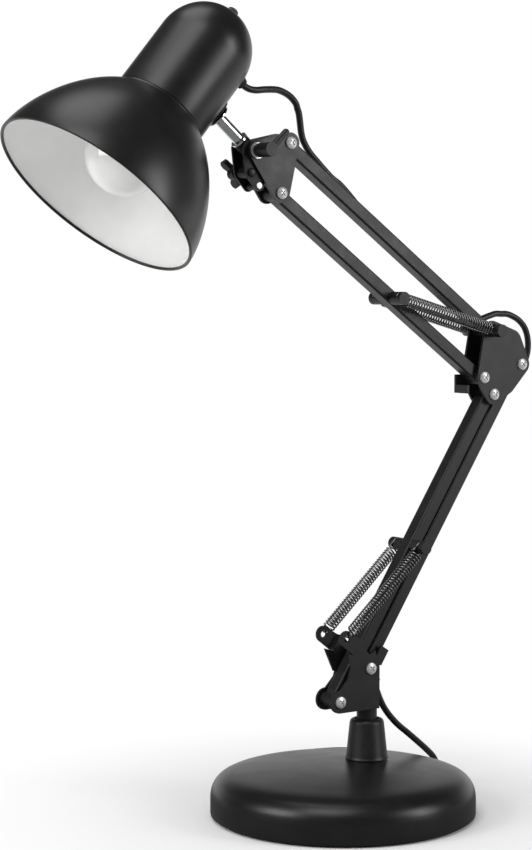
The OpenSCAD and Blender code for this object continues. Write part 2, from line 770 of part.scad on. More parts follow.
module neck_housing() {
    color(satin) in_shade() difference() {
        spun(96) difference() {
            polygon(concat(
                [[0, bowl_end + 1.5], [neck_r, bowl_end + 1.5]],
                [for (a = [0:6:90]) [neck_r * cos(a), dome_from + (shade_depth - dome_from) * sin(a)]]
            ));
            polygon(concat(
                [[0, bowl_end], [neck_r - shade_wall, bowl_end]],
                [for (a = [0:6:90])
                    [(neck_r - shade_wall) * cos(a), dome_from + (shade_depth - shade_wall - dome_from) * sin(a)]]
            ));
        }
        toward_rod() translate([0, 0, neck_r - 6]) cylinder(d = rod_d - 1.2 + 2 * fit, h = 12);
        toward_grommet() translate([0, 0, neck_r - 6]) cylinder(d = 8 + 2 * fit, h = 12);
        translate([shade_depth - 5, 0, 0]) rotate([0, 90, 0]) cylinder(d = 7 + 2 * fit, h = 10);
    }
}
module toward_grommet() {
    translate([grommet_at, 0, 0]) mirror([0, 0, 1]) children();
}
module cord_grommet() {
    color(rubber) in_shade() toward_grommet() difference() {
        union() {
            translate([0, 0, neck_r - shade_wall - 4.4]) cylinder(d = 9.6, h = 2.05);
            translate([0, 0, neck_r - shade_wall - 2.4]) cylinder(d = 8, h = 4);
            translate([0, 0, neck_r + 0.2]) cylinder(d1 = 11, d2 = 7.6, h = 5);
        }
        translate([0, 0, neck_r - 6]) cylinder(d = cord_d + 2 * clear, h = 14);
    }
}
strap_w = 18;
module socket_bracket() {
    color(silver) in_shade() difference() {
        union() {
            translate([plate_s, 0, 0]) rotate([0, 90, 0]) cylinder(r = 27, h = strap_t);
            toward_rod() translate([-10, -strap_w / 2, strap_low]) cube([plate_s + 10 + strap_t - rod_at, strap_w, strap_t]);
            toward_rod() translate([plate_s - rod_at, -strap_w / 2, 20]) cube([strap_t, strap_w, strap_low - 20 + thin]);
        }
        toward_rod() translate([0, 0, neck_r - 8]) cylinder(d = rod_d - 1.2 + 2 * fit, h = 12);
        translate([plate_s - 1, 0, 0]) rotate([0, 90, 0]) cylinder(r = 10, h = 4);
    }
}
socket_from = 82;
socket_r = 20;
cap_r = 13.2;
cap_to = 108;
module lamp_socket() {
    color(white) in_shade() difference() {
        union() {
            translate([socket_from, 0, 0]) rotate([0, 90, 0]) cylinder(r = socket_r, h = plate_s - socket_from);
            translate([socket_from, 0, 0]) rotate([0, 90, 0]) cylinder(r = socket_r + 2, h = 3);
        }
        translate([socket_from - 1, 0, 0]) rotate([0, 90, 0]) cylinder(r = cap_r + clear, h = cap_to - socket_from + 1 + clear);
    }
}
globe_s = 36;
module bulb() {
    globe_r = bulb_d / 2;
    color(white) in_shade() {
        translate([globe_s, 0, 0]) sphere(globe_r, $fn = 96);
        spun(96) polygon([
            [0, globe_s], [globe_r * 0.96, globe_s + globe_r * 0.28], [globe_r * 0.83, globe_s + globe_r * 0.62],
            [17.5, globe_s + 28], [14.6, globe_s + 38], [13.4, socket_from - 0.5], [0, socket_from - 0.5]
        ]);
    }
    color(silver) in_shade() translate([socket_from - 1, 0, 0]) rotate([0, 90, 0]) cylinder(r = cap_r, h = cap_to - socket_from + 1);
}
knob_gap = 0.4;
module switch_body() {
    color(black) in_shade() {
        translate([shade_depth - 22, 0, 0]) rotate([0, 90, 0]) cylinder(d = 16, h = 19.4);
        translate([shade_depth - 3, 0, 0]) rotate([0, 90, 0]) cylinder(d = 7, h = 4);
        translate([shade_depth + 0.1, 0, 0]) rotate([0, 90, 0]) difference() {
            cylinder(d = 10, h = 1.4);
            translate([0, 0, -1]) cylinder(d = 6.9, h = 4);
        }
        translate([shade_depth, 0, 0]) rotate([0, 90, 0]) cylinder(d = 3.4, h = 4);
    }
}
module switch_knob() {
    color(black) in_shade() translate([shade_depth + 1.5 + knob_gap, 0, 0]) rotate([0, 90, 0]) difference() {
        union() {
            cylinder(d = 8.2, h = 2.4);
            translate([0, 0, 2.4]) intersection() {
                sphere(d = 8.2);
                cylinder(d = 8.2, h = 1.5);
            }
        }
        translate([0, 0, -1]) cylinder(d = 3.4 + 2 * fit, h = 3.4);
    }
}

// Balance springs: hook or eye at one end, curls, and an eye round the pin at the other
spring_r = (spring_d - wire_d) / 2;
loop_r = groove_r + wire_d / 2 + clear;
rings_per_curl = 8;
function flat_point(p, y) = [p.x, y, p.y];
function spring_axis(p, q) = unit(flat_point(q, 0) - flat_point(p, 0));
function curls(start, axis, side, out, length) = [
    for (i = [0:spring_curls * rings_per_curl])
        let (turn = 360 * i / rings_per_curl)
        start + axis * (length * i / (spring_curls * rings_per_curl)) + spring_r * (cos(turn) * side + sin(turn) * out)
];
function eye_turn(p, axis, side, from, to, steps) = [
    for (i = [0:steps]) let (t = from + (to - from) * i / steps) p + loop_r * (cos(t) * side + sin(t) * axis)
];
function spring_path(p, q, y, hooked) =
    let (
        a = flat_point(p, y), b = flat_point(q, y), axis = spring_axis(p, q), side = [-axis.z, 0, axis.x],
        out = [0, y > 0 ? 1 : -1, 0], head = hooked ? 6 : loop_r + 3, foot = loop_r + 3,
        length = norm(b - a) - head - foot
    )
    concat(
        hooked
            ? [a - 2.9 * out, a - 1.4 * out, a + 1.4 * out, a + 2.9 * out + 1.2 * axis, a + 2.2 * out + 3.4 * axis + 2.6 * side]
            : eye_turn(a, axis, side, -270, 0, 7),
        curls(a + head * axis, axis, side, out, length),
        [for (v = eye_turn(b, axis, side, 0, 270, 7)) v]
    );
ear_hook = ear + (ear_hole_r - wire_d / 2 - skin) * unit(lower_pin - ear);
lower_path = spring_path(ear_hook, lower_pin, spring_off, true);
upper_path = spring_path(upper_pin, top_elbow, spring_off, false);
echo("least gap between curls of a lower spring", least_gap(lower_path, wire_d, 5));
echo("least gap between curls of an upper spring", least_gap(upper_path, wire_d, 5));
module lower_springs() {
    color(silver) on_post() for (y = [-spring_off, spring_off])
        tube(spring_path(ear_hook, lower_pin, y, true), wire_d, 6);
}
module upper_springs() {
    color(silver) on_post() for (y = [-spring_off, spring_off])
        tube(spring_path(upper_pin, top_elbow, y, false), wire_d, 6);
}

// Cord on the arm: hand-set points [x, y, z], each list counted from the hinge that it lies near.
// At a split, the cord's two pieces meet face to face and share one direction.
cord_sides = 8;
function from(p, route) = [for (v = route) flat_point(p, 0) + v];
function grommet(h) = flat_point(rim + grommet_at * dir(shade_lean) - h * dir(rod_turn), 0);
pan_split = [-12, 2.2, 38.7];
pan_way = [4, 0.6, 0.3];
tilt_split = [18.6, 8.4, 26.8];
tilt_way = [1.9, 0.7, -3.6];
elbow_split = [-2, 13, 39.4];
elbow_way = [4, 0, -0.1];
clip_split = [19.5, 13.9, -12];
clip_way = [1.2, 0, -3.5];
top_split = flat_point(top_elbow + 91 * dir(upper_turn), 0);
top_way = flat_point(dir(upper_turn), 0);
rear_split = flat_point(rear_base + 84 * dir(lower_lean), 0);
rear_way = flat_point(dir(lower_lean), 0);
shade_route = concat(
    [grommet(neck_r - 5), grommet(neck_r + 1), grommet(neck_r + 5.5)],
    from(top_head, [[-29.5, 0.4, 38.2], [-23, 1.1, 37.6], pan_split - pan_way, pan_split])
);
knuckle_route = from(top_head, [
    pan_split, pan_split + pan_way, [-1.5, 4.2, 39], [5.5, 5.6, 37.4], [11.8, 6.9, 34.6], tilt_split - tilt_way, tilt_split
]);
head_route = concat(
    from(top_head, [
        tilt_split, tilt_split + tilt_way, [22.1, 9.8, 16.4], [23.6, 10.5, 9.4], [26, 11, 3.2], [31, 11, -4.2],
        [38, 10.6, -11.3], [50, 9.8, -22.5], [58.5, 9, -28.5], [67, 6.5, -38], [76.5, 2.5, -50.7], [85.5, 0.3, -60.1],
        [101.5, 0, -72.4]
    ]),
    [top_split + 8 * top_way, top_split]
);
elbow_route = concat(
    [top_split, top_split - 8 * top_way],
    from(rear_elbow, [
        [-87, 0.3, 68.6], [-77, 1.5, 61.5], [-67, 4.5, 56], [-57, 8, 51], [-45, 11.3, 44.6], [-34.5, 13.2, 38.2],
        [-24.5, 13.3, 35.5], [-14.5, 13.2, 37.9], elbow_split - 1.5 * elbow_way, elbow_split
    ])
);
rear_route = concat(
    from(rear_elbow, [
        elbow_split, elbow_split + 1.5 * elbow_way, [10.2, 12.5, 37.2], [15.8, 12.1, 34.1], [21.2, 12, 29],
        [24.6, 12.2, 22.6], [26.4, 12.8, 14.5], [26, 13.6, 6.5], [22.9, 14.2, -1.2], [17, 14.4, -9], [9.5, 14.4, -16.2],
        [2, 14, -22.2], [-4, 13.6, -26.4], [-10.4, 12, -31.4], [-17, 9.2, -36.7], [-23.2, 5.6, -42.2], [-29.1, 2.4, -47.9],
        [-35.1, 0.5, -54.7], [-41.5, 0, -63.7]
    ]),
    [rear_split + 60 * rear_way, rear_split + 8 * rear_way, rear_split]
);
bracket_route = concat(
    [rear_split, rear_split - 8 * rear_way],
    from(rear_base, [
        [36.5, 0.5, 55], [32.7, 2.4, 46.7], [29.8, 5.8, 39], [27.6, 9.4, 31.6], [24.5, 12.4, 22.5],
        [21, 13.8, 13], [18.4, 13.9, 3.5], [17.3, 13.9, -4], clip_split - clip_way, clip_split
    ])
);
module shade_cord() {
    color(rubber) on_post() cord(shade_route);
}
module knuckle_cord() {
    color(rubber) on_post() cord(knuckle_route);
}
module head_cord() {
    color(rubber) on_post() cord(head_route);
}
module elbow_cord() {
    color(rubber) on_post() cord(elbow_route);
}
module rear_cord() {
    color(rubber) on_post() cord(rear_route);
}
module bracket_cord() {
    color(rubber) on_post() cord(bracket_route);
}
// Clip that holds the cord behind the far plate of the base bracket
clip_w = 7.6;
clip_back = clip_split.y + cord_d / 2 + 1.3;
clip_turn = atan2(clip_way.z, clip_way.x);
module cord_clip() {
    color(black) on_post() {
        slab(plate_out, plate_out + 1) difference() {
            polygon([
                rear_base + [-1, -8], rear_base + [clip_split.x, clip_split.z + 3], rear_base + [clip_split.x, clip_split.z - 3],
                rear_base + [-1, -18]
            ]);
            translate(rear_base + [3.5, -12.8]) circle(d = 3.2);
        }
        pin(rear_base + [3.5, -12.8], plate_out, plate_out + 2.4, 3.2 - thin);
        translate(flat_point(rear_base, 0) + [clip_split.x, 0, clip_split.z]) rotate([0, -clip_turn, 0]) difference() {
            translate([-4, plate_out, -clip_w / 2]) cube([8, clip_back - plate_out, clip_w]);
            translate([-5, clip_split.y - cord_d / 2 - 0.1, -cord_d / 2 - 0.1]) cube([10, cord_d + 0.2, cord_d + 0.2]);
        }
    }
}

// Coil: the lower layer spirals in, half a turn climbs, and the upper layer spirals out
tie_t = 0.6;
coil_z = tie_t + cord_d / 2 * cos(30) + 0.1;
coil_mid = [53, 103.5];
coil_pitch = 5.5;
layer_rise = 5.45;
coil_per_layer = coil_loops / 2;
coil_out = coil_mid_r + coil_pitch * coil_per_layer / 2;
steps_per_loop = 24;
tail_steps = 5;
coil_start = [coil_mid.x + coil_out, coil_mid.y - cord_d, coil_z];
function coil_point(i) =
    let (
        turn = i / steps_per_loop, inward = min(turn, coil_loops - turn), r = coil_out - coil_pitch * inward,
        climb = min(max((turn - coil_per_layer + 0.25) / 0.5, 0), 1)
    )
    [coil_mid.x + r * cos(360 * turn), coil_mid.y + r * sin(360 * turn), coil_z + layer_rise * climb];
tail_turn = 360 * tail_steps / steps_per_loop;
coil_last = coil_point(coil_loops * steps_per_loop + tail_steps);
coil_end = coil_last + cord_d * [-sin(tail_turn), cos(tail_turn), 0];
coil_path = concat(
    [coil_start], [for (i = [0:coil_loops * steps_per_loop + tail_steps]) coil_point(i)], [coil_end]
);
echo("least gap between loops of the coil", least_gap(coil_path, cord_d, 12));
// Mains lead: from the clip over the base and down to the coil behind it
lead_route = concat(
    from(rear_base, [clip_split, clip_split + clip_way]),
    [
        [20.2, 14.4, 85], [23.6, 14.7, 77.6], [27.8, 15, 70.4], [33.9, 15.5, 63], [42.2, 16, 55], [52.4, 16.7, 47.2],
        [63, 17.5, 38.9], [73, 18.8, 31], [81.5, 21, 23.8], [88.3, 25, 16.2], [94, 31, 9.4], [98, 40, 4.8],
        [99.5, 52, 2.8], [98.5, 66, 2.8], [95.8, 80, 2.8]
    ],
    [coil_start - [0, 6, 0], coil_start]
);
module mains_lead() {
    color(rubber) on_post() cord(lead_route);
}
module lead_coil() {
    color(rubber) on_post() tube(coil_path, cord_d, 6);
}
// Each tie is a flat strap round the whole bundle of turns
function bundle_in(f) = coil_out - coil_pitch * (coil_per_layer - min(f, 1 - f)) - cord_d / 2;
function bundle_out(f) = coil_out - coil_pitch * min(f, 1 - f) + cord_d / 2;
bundle_top = coil_z + layer_rise + cord_d / 2;
tie_w = 7;
module lead_ties() {
    color(black) on_post() translate([coil_mid.x, coil_mid.y, 0]) for (turn = [150, 234]) {
        from = bundle_in(turn / 360) - 0.6 - tie_t;
        to = bundle_out(turn / 360) + skin + tie_t;
        rotate(turn) translate([(from + to) / 2, tie_w / 2, (bundle_top + skin + tie_t) / 2]) rotate([90, 0, 0])
            linear_extrude(tie_w) difference() {
                rounded(to - from, bundle_top + skin + tie_t, 1.6);
                rounded(to - from - 2 * tie_t, bundle_top + skin - tie_t, 1);
            }
    }
}
// Plug: local x runs out along the pins, from the face they stand on
plug_at = [-15.4, 126.3];
plug_turn = 200;
plug_z = plug_t / 2;
function plug_back(d) =
    [plug_at.x - (plug_l + d) * cos(plug_turn), plug_at.y - (plug_l + d) * sin(plug_turn), plug_z];
pin_neck_d = plug_pin_d - 0.8;
module in_plug() {
    on_post() translate([plug_at.x, plug_at.y, plug_z]) rotate(plug_turn) children();
}
function plug_outline(half, tail) = [
    [0, half - 1], [-1, half], [-plug_l * 0.3, half], [-plug_l * 0.8, tail + 1], [-plug_l, tail],
    [-plug_l, -tail], [-plug_l * 0.8, -tail - 1], [-plug_l * 0.3, -half], [-1, -half], [0, 1 - half]
];
module plug_body() {
    color(black) in_plug() difference() {
        intersection() {
            translate([0, 0, -plug_t]) linear_extrude(2 * plug_t) polygon(plug_outline(plug_w / 2, 4.4));
            rotate([90, 0, 0]) linear_extrude(2 * plug_w, center = true) polygon(plug_outline(plug_t / 2, 4));
        }
        for (s = [-1, 1]) translate([-8, s * plug_pitch / 2, 0]) rotate([0, 90, 0])
            cylinder(d = pin_neck_d, h = 12);
    }
}
module plug_pins() {
    color(silver) in_plug() for (s = [-1, 1]) translate([0, s * plug_pitch / 2, 0]) rotate([0, 90, 0]) {
        translate([0, 0, -8 + thin]) cylinder(d = pin_neck_d, h = 9);
        translate([0, 0, 0.5]) cylinder(d = plug_pin_d, h = plug_pin_l - plug_pin_d / 2 - 0.5);
        translate([0, 0, plug_pin_l - plug_pin_d / 2]) sphere(d = plug_pin_d);
    }
}
tail_route = [
    coil_end, 2 * coil_end - coil_last, [47, 147.4, 7.6], plug_back(24), plug_back(12), plug_back(3.5), plug_back(0)
];
module plug_cord() {
    color(rubber) on_post() cord(tail_route);
}

base_shell();
base_ballast();
base_plate();
foot_pad();
plate_screws();
collar();
collar_bolt();
post();
base_bracket();
base_screws();
base_nuts();
cord_clip();
rear_arm_tube();
rear_arm_eyes();
front_arm_tube();
front_arm_eyes();
lower_spring_pin();
elbow_bracket();
elbow_screws();
elbow_nuts();
elbow_spring_pin();
top_arm_tube();
top_arm_eyes();
under_arm_tube();
under_arm_eyes();
upper_spring_pin();
head_plates();
head_screws();
head_nuts();
tilt_bolt();
tilt_lever();
knuckle_yoke();
rod_socket();
yoke_fasteners();
wing_nut();
shade_rod();
rod_rings();
rod_saddle();
shade_bowl();
neck_housing();
socket_bracket();
lamp_socket();
bulb();
cord_grommet();
switch_body();
switch_knob();
lower_springs();
upper_springs();
shade_cord();
knuckle_cord();
head_cord();
elbow_cord();
rear_cord();
bracket_cord();
mains_lead();
lead_coil();
lead_ties();
plug_cord();
plug_body();
plug_pins();
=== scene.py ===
"""Swing-arm desk lamp on a round weighted base, dressed for looks over its CAD frame.

Metres, +Z up, in the CAD's own frame. Lists of points are in millimetres, counted from the post's
axis on the floor, as in the CAD source; world() turns them into metres in the row frame.
"""
import math

import bmesh
import bpy
import numpy as np
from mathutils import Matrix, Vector

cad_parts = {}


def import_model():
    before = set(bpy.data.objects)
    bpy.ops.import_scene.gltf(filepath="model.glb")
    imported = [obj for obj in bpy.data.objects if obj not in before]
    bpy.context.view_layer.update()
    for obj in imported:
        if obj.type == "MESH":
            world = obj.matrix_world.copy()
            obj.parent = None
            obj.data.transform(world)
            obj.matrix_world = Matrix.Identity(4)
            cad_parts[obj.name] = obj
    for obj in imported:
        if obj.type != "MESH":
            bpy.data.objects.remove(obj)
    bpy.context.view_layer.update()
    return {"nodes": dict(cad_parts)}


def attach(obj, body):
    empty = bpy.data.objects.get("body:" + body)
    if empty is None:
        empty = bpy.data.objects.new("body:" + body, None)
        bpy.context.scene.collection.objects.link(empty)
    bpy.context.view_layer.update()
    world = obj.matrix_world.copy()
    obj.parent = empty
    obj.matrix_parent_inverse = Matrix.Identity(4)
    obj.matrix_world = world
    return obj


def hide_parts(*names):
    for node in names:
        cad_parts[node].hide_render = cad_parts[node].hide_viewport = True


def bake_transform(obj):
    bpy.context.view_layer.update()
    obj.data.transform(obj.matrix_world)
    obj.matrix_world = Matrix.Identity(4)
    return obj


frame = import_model()
NODES = frame["nodes"]
MM = 0.001
POST = np.array([32.0, 13.0, 0.0])
UP = np.array([0.0, 0.0, 1.0])
ACROSS = np.array([0.0, 1.0, 0.0])


def world(points):
    """Millimetres from the post's axis to metres in the row frame: the post's place is added, then scaled."""
    return (np.asarray(points, float) + POST) * MM


def heading(angle):
    """Unit vector in the arm's plane at an angle above +X, as cosine, zero, sine."""
    a = math.radians(angle)
    return np.array([math.cos(a), 0.0, math.sin(a)])


def level(angle):
    """Unit vector along the floor at an angle from +X, as cosine, sine, zero."""
    a = math.radians(angle)
    return np.array([math.cos(a), math.sin(a), 0.0])


def unit(v):
    """A vector, or each row of an array, divided by its own length."""
    v = np.asarray(v, float)
    return v / np.linalg.norm(v, axis=-1, keepdims=True)


def turns(steps):
    """The angles of one full turn in equal steps, in radians, without the last one."""
    return 2 * math.pi * np.arange(steps) / steps


# Hinges in the arm's plane: base (S), elbow (E), head (H) and tilt, as in the CAD source
LOWER_LEN, UPPER_LEN = 272.0, 237.0
LOWER = heading(56.9)
UPPER = heading(180 - 35.9)
S1 = np.array([-4.0, 0.0, 108.0])
S2 = S1 - [28.5, 0, 23]
E1 = S1 + LOWER_LEN * LOWER
E2 = S2 + LOWER_LEN * LOWER
E3 = E2 + [-9.9, 0, 13.4]
E4 = E3 + [8.3, 0, 36.5]
H1 = E4 + UPPER_LEN * UPPER
TILT = H1 - [29.3, 0, 6.5]
LOWER_PIN = S2 + 134.5 * LOWER
UPPER_PIN = E3 + 106 * UPPER

# Shade: its axis runs from the middle of the rim up through the neck, and the rod stands square to it
SHADE = heading(49.7)
ROD = heading(139.7)
ROD_REACH, ROD_AT = 74.7, 108.7
RIM = TILT + ROD_REACH * ROD - ROD_AT * SHADE
NECK_R, RIM_R, SHADE_DEPTH, DOME_FROM = 35.0, 79.3, 170.7, 134.8
MOUTH_OUT, DOME_LIFT, NECK_FROM = 1.3, 0.7, 78.5
BOWL_DEPTH, BOWL_ROOT_R, BOWL_POWER = 86.0, 16.26, 1.228
GROMMET_AT = DOME_FROM + 6.2


# ---------------------------------------------------------------- camera
PHOTO_HEIGHT = 850
AIM = Vector((-0.028, 0.013, 0.290))
CAMERA_TURN, CAMERA_RISE, CAMERA_AWAY = -35, 4, 1.6
SENSOR_WIDTH, LENS = 36, 91.26
PHOTO_SHIFT = (-36.6, 6.5)


def set_camera():
    """Stands the camera back from the aim along the unit vector of its turn and rise, looking at the aim."""
    turn, rise = math.radians(CAMERA_TURN), math.radians(CAMERA_RISE)
    back = Vector((math.sin(turn) * math.cos(rise), -math.cos(turn) * math.cos(rise), math.sin(rise)))
    data = bpy.data.cameras.new("camera")
    data.sensor_width = SENSOR_WIDTH
    data.lens = LENS
    data.shift_x, data.shift_y = (shift / PHOTO_HEIGHT for shift in PHOTO_SHIFT)
    data.clip_end = 50
    obj = bpy.data.objects.new("camera", data)
    obj.location = AIM + CAMERA_AWAY * back
    obj.rotation_euler = (-back).to_track_quat("-Z", "Y").to_euler()
    bpy.context.scene.collection.objects.link(obj)
    bpy.context.scene.camera = obj


set_camera()


# ---------------------------------------------------------------- shader helpers
def shader_node(tree, kind, inputs):
    """A new shader node whose named inputs are set to plain values, or linked where a socket is given."""
    node = tree.nodes.new("ShaderNode" + kind)
    for name, value in inputs.items():
        if isinstance(value, bpy.types.NodeSocket):
            tree.links.new(value, node.inputs[name])
        else:
            node.inputs[name].default_value = value
    return node


def reckon(tree, operation, *terms):
    """The result of one step of arithmetic on values and sockets."""
    node = shader_node(tree, "Math", dict(enumerate(terms)))
    node.operation = operation
    return node.outputs["Value"]


def dot(tree, a, b):
    """The dot product of two vectors: one where they point the same way, zero where they are square."""
    node = shader_node(tree, "VectorMath", {0: a, 1: b})
    node.operation = "DOT_PRODUCT"
    return node.outputs["Value"]


def spread(tree, value, start, stop, low=0.0, high=1.0, soft=False):
    """Runs from low to high as a value goes from start to stop, with eased ends where soft is set."""
    node = shader_node(tree, "MapRange", {
        "Value": value, "From Min": start, "From Max": stop, "To Min": low, "To Max": high})
    if soft:
        node.interpolation_type = "SMOOTHSTEP"
    return node.outputs["Result"]


def noise(tree, where, scale, detail):
    """The height of a noise pattern at a place."""
    return shader_node(tree, "TexNoise", {"Vector": where, "Scale": scale, "Detail": detail}).outputs["Fac"]


def set_inputs(node, **values):
    """Sets a node's unlinked inputs. A name's underscores stand for spaces."""
    for name, value in values.items():
        node.inputs[name.replace("_", " ")].default_value = value


# ---------------------------------------------------------------- materials
PATCH_LOW, PATCH_HIGH = 0.3, 0.7
# Where the painted highlight on edges starts and where it is full, as the cosine between the rounded and the
# flat normal
HIGHLIGHT_FROM, HIGHLIGHT_TO = 0.985, 0.9
MIX_FACTOR, MIX_A, MIX_B, MIX_COLOUR = 0, 6, 7, 2
GLASS_DEPTH = 0.004


def painted_edge_highlight(tree, colour, rounded, edge_highlight_colour):
    """Painted highlight along edges: a colour mixed towards a lighter edge colour as the rounded normal leaves
    the flat one.
    """
    flat = shader_node(tree, "NewGeometry", {}).outputs["Normal"]
    edge_highlight_mask = spread(tree, dot(tree, rounded, flat), HIGHLIGHT_FROM, HIGHLIGHT_TO)
    mix = tree.nodes.new("ShaderNodeMix")
    mix.data_type = "RGBA"
    mix.inputs[MIX_B].default_value = (*edge_highlight_colour, 1)
    tree.links.new(edge_highlight_mask, mix.inputs[MIX_FACTOR])
    tree.links.new(colour, mix.inputs[MIX_A])
    return mix.outputs[MIX_COLOUR]


def surface(name, dark, light, rough, metal=0.0, patch=60.0, grain=1500.0, depth=0.00006, strength=0.35,
            coat=0.0, coat_rough=0.1, specular=0.5, edge=0.0, edge_highlight_colour=None, subsurface=0.0):
    """A finish whose colour and roughness drift over patches and whose fine grain stands up as bump.

    Colour runs from dark to light and roughness over its range as the patch noise rises from 0.3 to 0.7.
    The bump's height is the grain noise times depth. With edge set, corners are rounded off in the
    shading over that radius, and painted lighter towards the edge colour, as a painted highlight, where the
    rounded normal leaves the flat one.
    """
    m = bpy.data.materials.new(name)
    m.use_nodes = True
    tree = m.node_tree
    shader = tree.nodes["Principled BSDF"]
    where = shader_node(tree, "TexCoord", {}).outputs["Object"]
    drift = noise(tree, where, patch, 5)
    ramp = shader_node(tree, "ValToRGB", {"Fac": drift})
    for stop, at, tone in zip(ramp.color_ramp.elements, (PATCH_LOW, PATCH_HIGH), (dark, light)):
        stop.position = at
        stop.color = (*tone, 1)
    colour = ramp.outputs["Color"]
    fine = noise(tree, where, grain, 3)
    bump = shader_node(tree, "Bump", {"Strength": strength, "Distance": depth, "Height": fine})
    if edge:
        bevel = shader_node(tree, "Bevel", {"Radius": edge})
        bevel.samples = 4
        rounded = bevel.outputs["Normal"]
        tree.links.new(rounded, bump.inputs["Normal"])
        # Painted highlight: edges mixed towards a lighter colour
        if edge_highlight_colour:
            colour = painted_edge_highlight(tree, colour, rounded, edge_highlight_colour)
    tree.links.new(colour, shader.inputs["Base Color"])
    tree.links.new(spread(tree, drift, PATCH_LOW, PATCH_HIGH, *rough), shader.inputs["Roughness"])
    tree.links.new(bump.outputs["Normal"], shader.inputs["Normal"])
    set_inputs(shader, Metallic=metal, Specular_IOR_Level=specular, Coat_Weight=coat, Coat_Roughness=coat_rough)
    if subsurface:
        set_inputs(shader, Subsurface_Weight=subsurface, Subsurface_Radius=(GLASS_DEPTH,) * 3)
    return m


def grey(v, tint=0.0):
    """A near-neutral colour; a positive tint is cooler."""
    return (v * (1 - tint), v, v * (1 + tint))


# Each finish's edge colour is a painted highlight along its corners
FINISHES = {
    "black_paint": dict(dark=grey(0.006), light=grey(0.009), rough=(0.38, 0.46), patch=90, grain=1100,
                        depth=0.00003, edge=0.0004, edge_highlight_colour=grey(0.02)),
    "black_enamel": dict(dark=grey(0.0050), light=grey(0.0075), rough=(0.33, 0.38), patch=45, grain=900,
                         depth=0.00003, strength=0.3),
    "white_enamel": dict(dark=(0.78, 0.78, 0.77), light=(0.83, 0.83, 0.82), rough=(0.42, 0.52), patch=50,
                         grain=800, depth=0.00004, strength=0.3),
    "black_cast": dict(dark=grey(0.003), light=grey(0.006), rough=(0.40, 0.55), patch=160, specular=0.3,
                       edge=0.0005, edge_highlight_colour=grey(0.05)),
    "black_plastic": dict(dark=grey(0.006), light=grey(0.010), rough=(0.42, 0.52), patch=120, grain=2600,
                          depth=0.00004, edge=0.0004, edge_highlight_colour=grey(0.015)),
    "zinc_steel": dict(dark=grey(0.70, 0.01), light=grey(0.82, 0.01), rough=(0.32, 0.46), metal=0.75, patch=260,
                       grain=2200, depth=0.00003, edge=0.0003, edge_highlight_colour=grey(0.8)),
    "chrome": dict(dark=grey(0.70, 0.01), light=grey(0.80, 0.01), rough=(0.05, 0.12), metal=1, patch=140,
                   grain=900, depth=0.00001, strength=0.15, edge=0.0003),
    "spring_steel": dict(dark=grey(0.18), light=grey(0.30), rough=(0.20, 0.32), metal=1, patch=300, grain=2600,
                         depth=0.00002, strength=0.2),
    "cast_iron": dict(dark=(0.06, 0.055, 0.05), light=(0.13, 0.12, 0.11), rough=(0.6, 0.8), metal=0.7, patch=80,
                      grain=700, depth=0.0003, strength=0.6),
    "rubber": dict(dark=grey(0.010), light=grey(0.018), rough=(0.75, 0.9), patch=200, grain=1600, depth=0.0002,
                   strength=0.5),
    "porcelain": dict(dark=(0.72, 0.70, 0.66), light=(0.80, 0.78, 0.74), rough=(0.2, 0.3), grain=500,
                      depth=0.00004, strength=0.2, edge=0.0005),
    "white_glass": dict(dark=(0.70, 0.70, 0.69), light=(0.75, 0.75, 0.74), rough=(0.10, 0.16), patch=40,
                        grain=300, depth=0.00001, strength=0.1, coat=0.4, coat_rough=0.05, subsurface=0.15),
    "cord_vinyl": dict(dark=grey(0.006), light=grey(0.010), rough=(0.36, 0.48), patch=150, grain=1300,
                       depth=0.00005),
    "brass": dict(dark=(0.60, 0.58, 0.52), light=(0.72, 0.70, 0.64), rough=(0.2, 0.3), metal=1, patch=150,
                  grain=1800, depth=0.00002),
}
MATERIALS = {name: surface(name, **looks) for name, looks in FINISHES.items()}
NODE_FINISH = {
    "black_paint": ("base_shell", "base_bracket", "rear_arm_tube", "front_arm_tube", "top_arm_tube",
                    "under_arm_tube", "elbow_bracket", "head_plates", "shade_bowl", "neck_housing", "post"),
    "black_plastic": ("collar", "rear_arm_eyes", "front_arm_eyes", "top_arm_eyes", "under_arm_eyes",
                      "lower_spring_pin", "upper_spring_pin", "elbow_spring_pin", "tilt_lever", "rod_saddle",
                      "cord_clip", "switch_body", "switch_knob", "lead_ties", "plug_body"),
    "black_cast": ("knuckle_yoke", "rod_socket", "wing_nut"),
    "zinc_steel": ("base_plate", "plate_screws", "collar_bolt", "base_screws", "base_nuts", "elbow_screws",
                   "elbow_nuts", "head_screws", "head_nuts", "tilt_bolt", "yoke_fasteners", "socket_bracket"),
    "chrome": ("shade_rod", "rod_rings"),
    "spring_steel": ("lower_springs", "upper_springs"),
    "cast_iron": ("base_ballast",),
    "rubber": ("foot_pad", "cord_grommet"),
    "porcelain": ("lamp_socket",),
    "white_glass": ("bulb",),
    "cord_vinyl": ("shade_cord", "knuckle_cord", "head_cord", "elbow_cord", "rear_cord", "bracket_cord",
                   "mains_lead", "lead_coil", "plug_cord"),
    "brass": ("plug_pins",),
}


def finish_nodes():
    """Gives each CAD node its material, in all of its slots."""
    for finish, names in NODE_FINISH.items():
        for node in (NODES[name] for name in names):
            if not node.material_slots:
                node.data.materials.append(MATERIALS[finish])
            for place in node.material_slots:
                place.material = MATERIALS[finish]


finish_nodes()


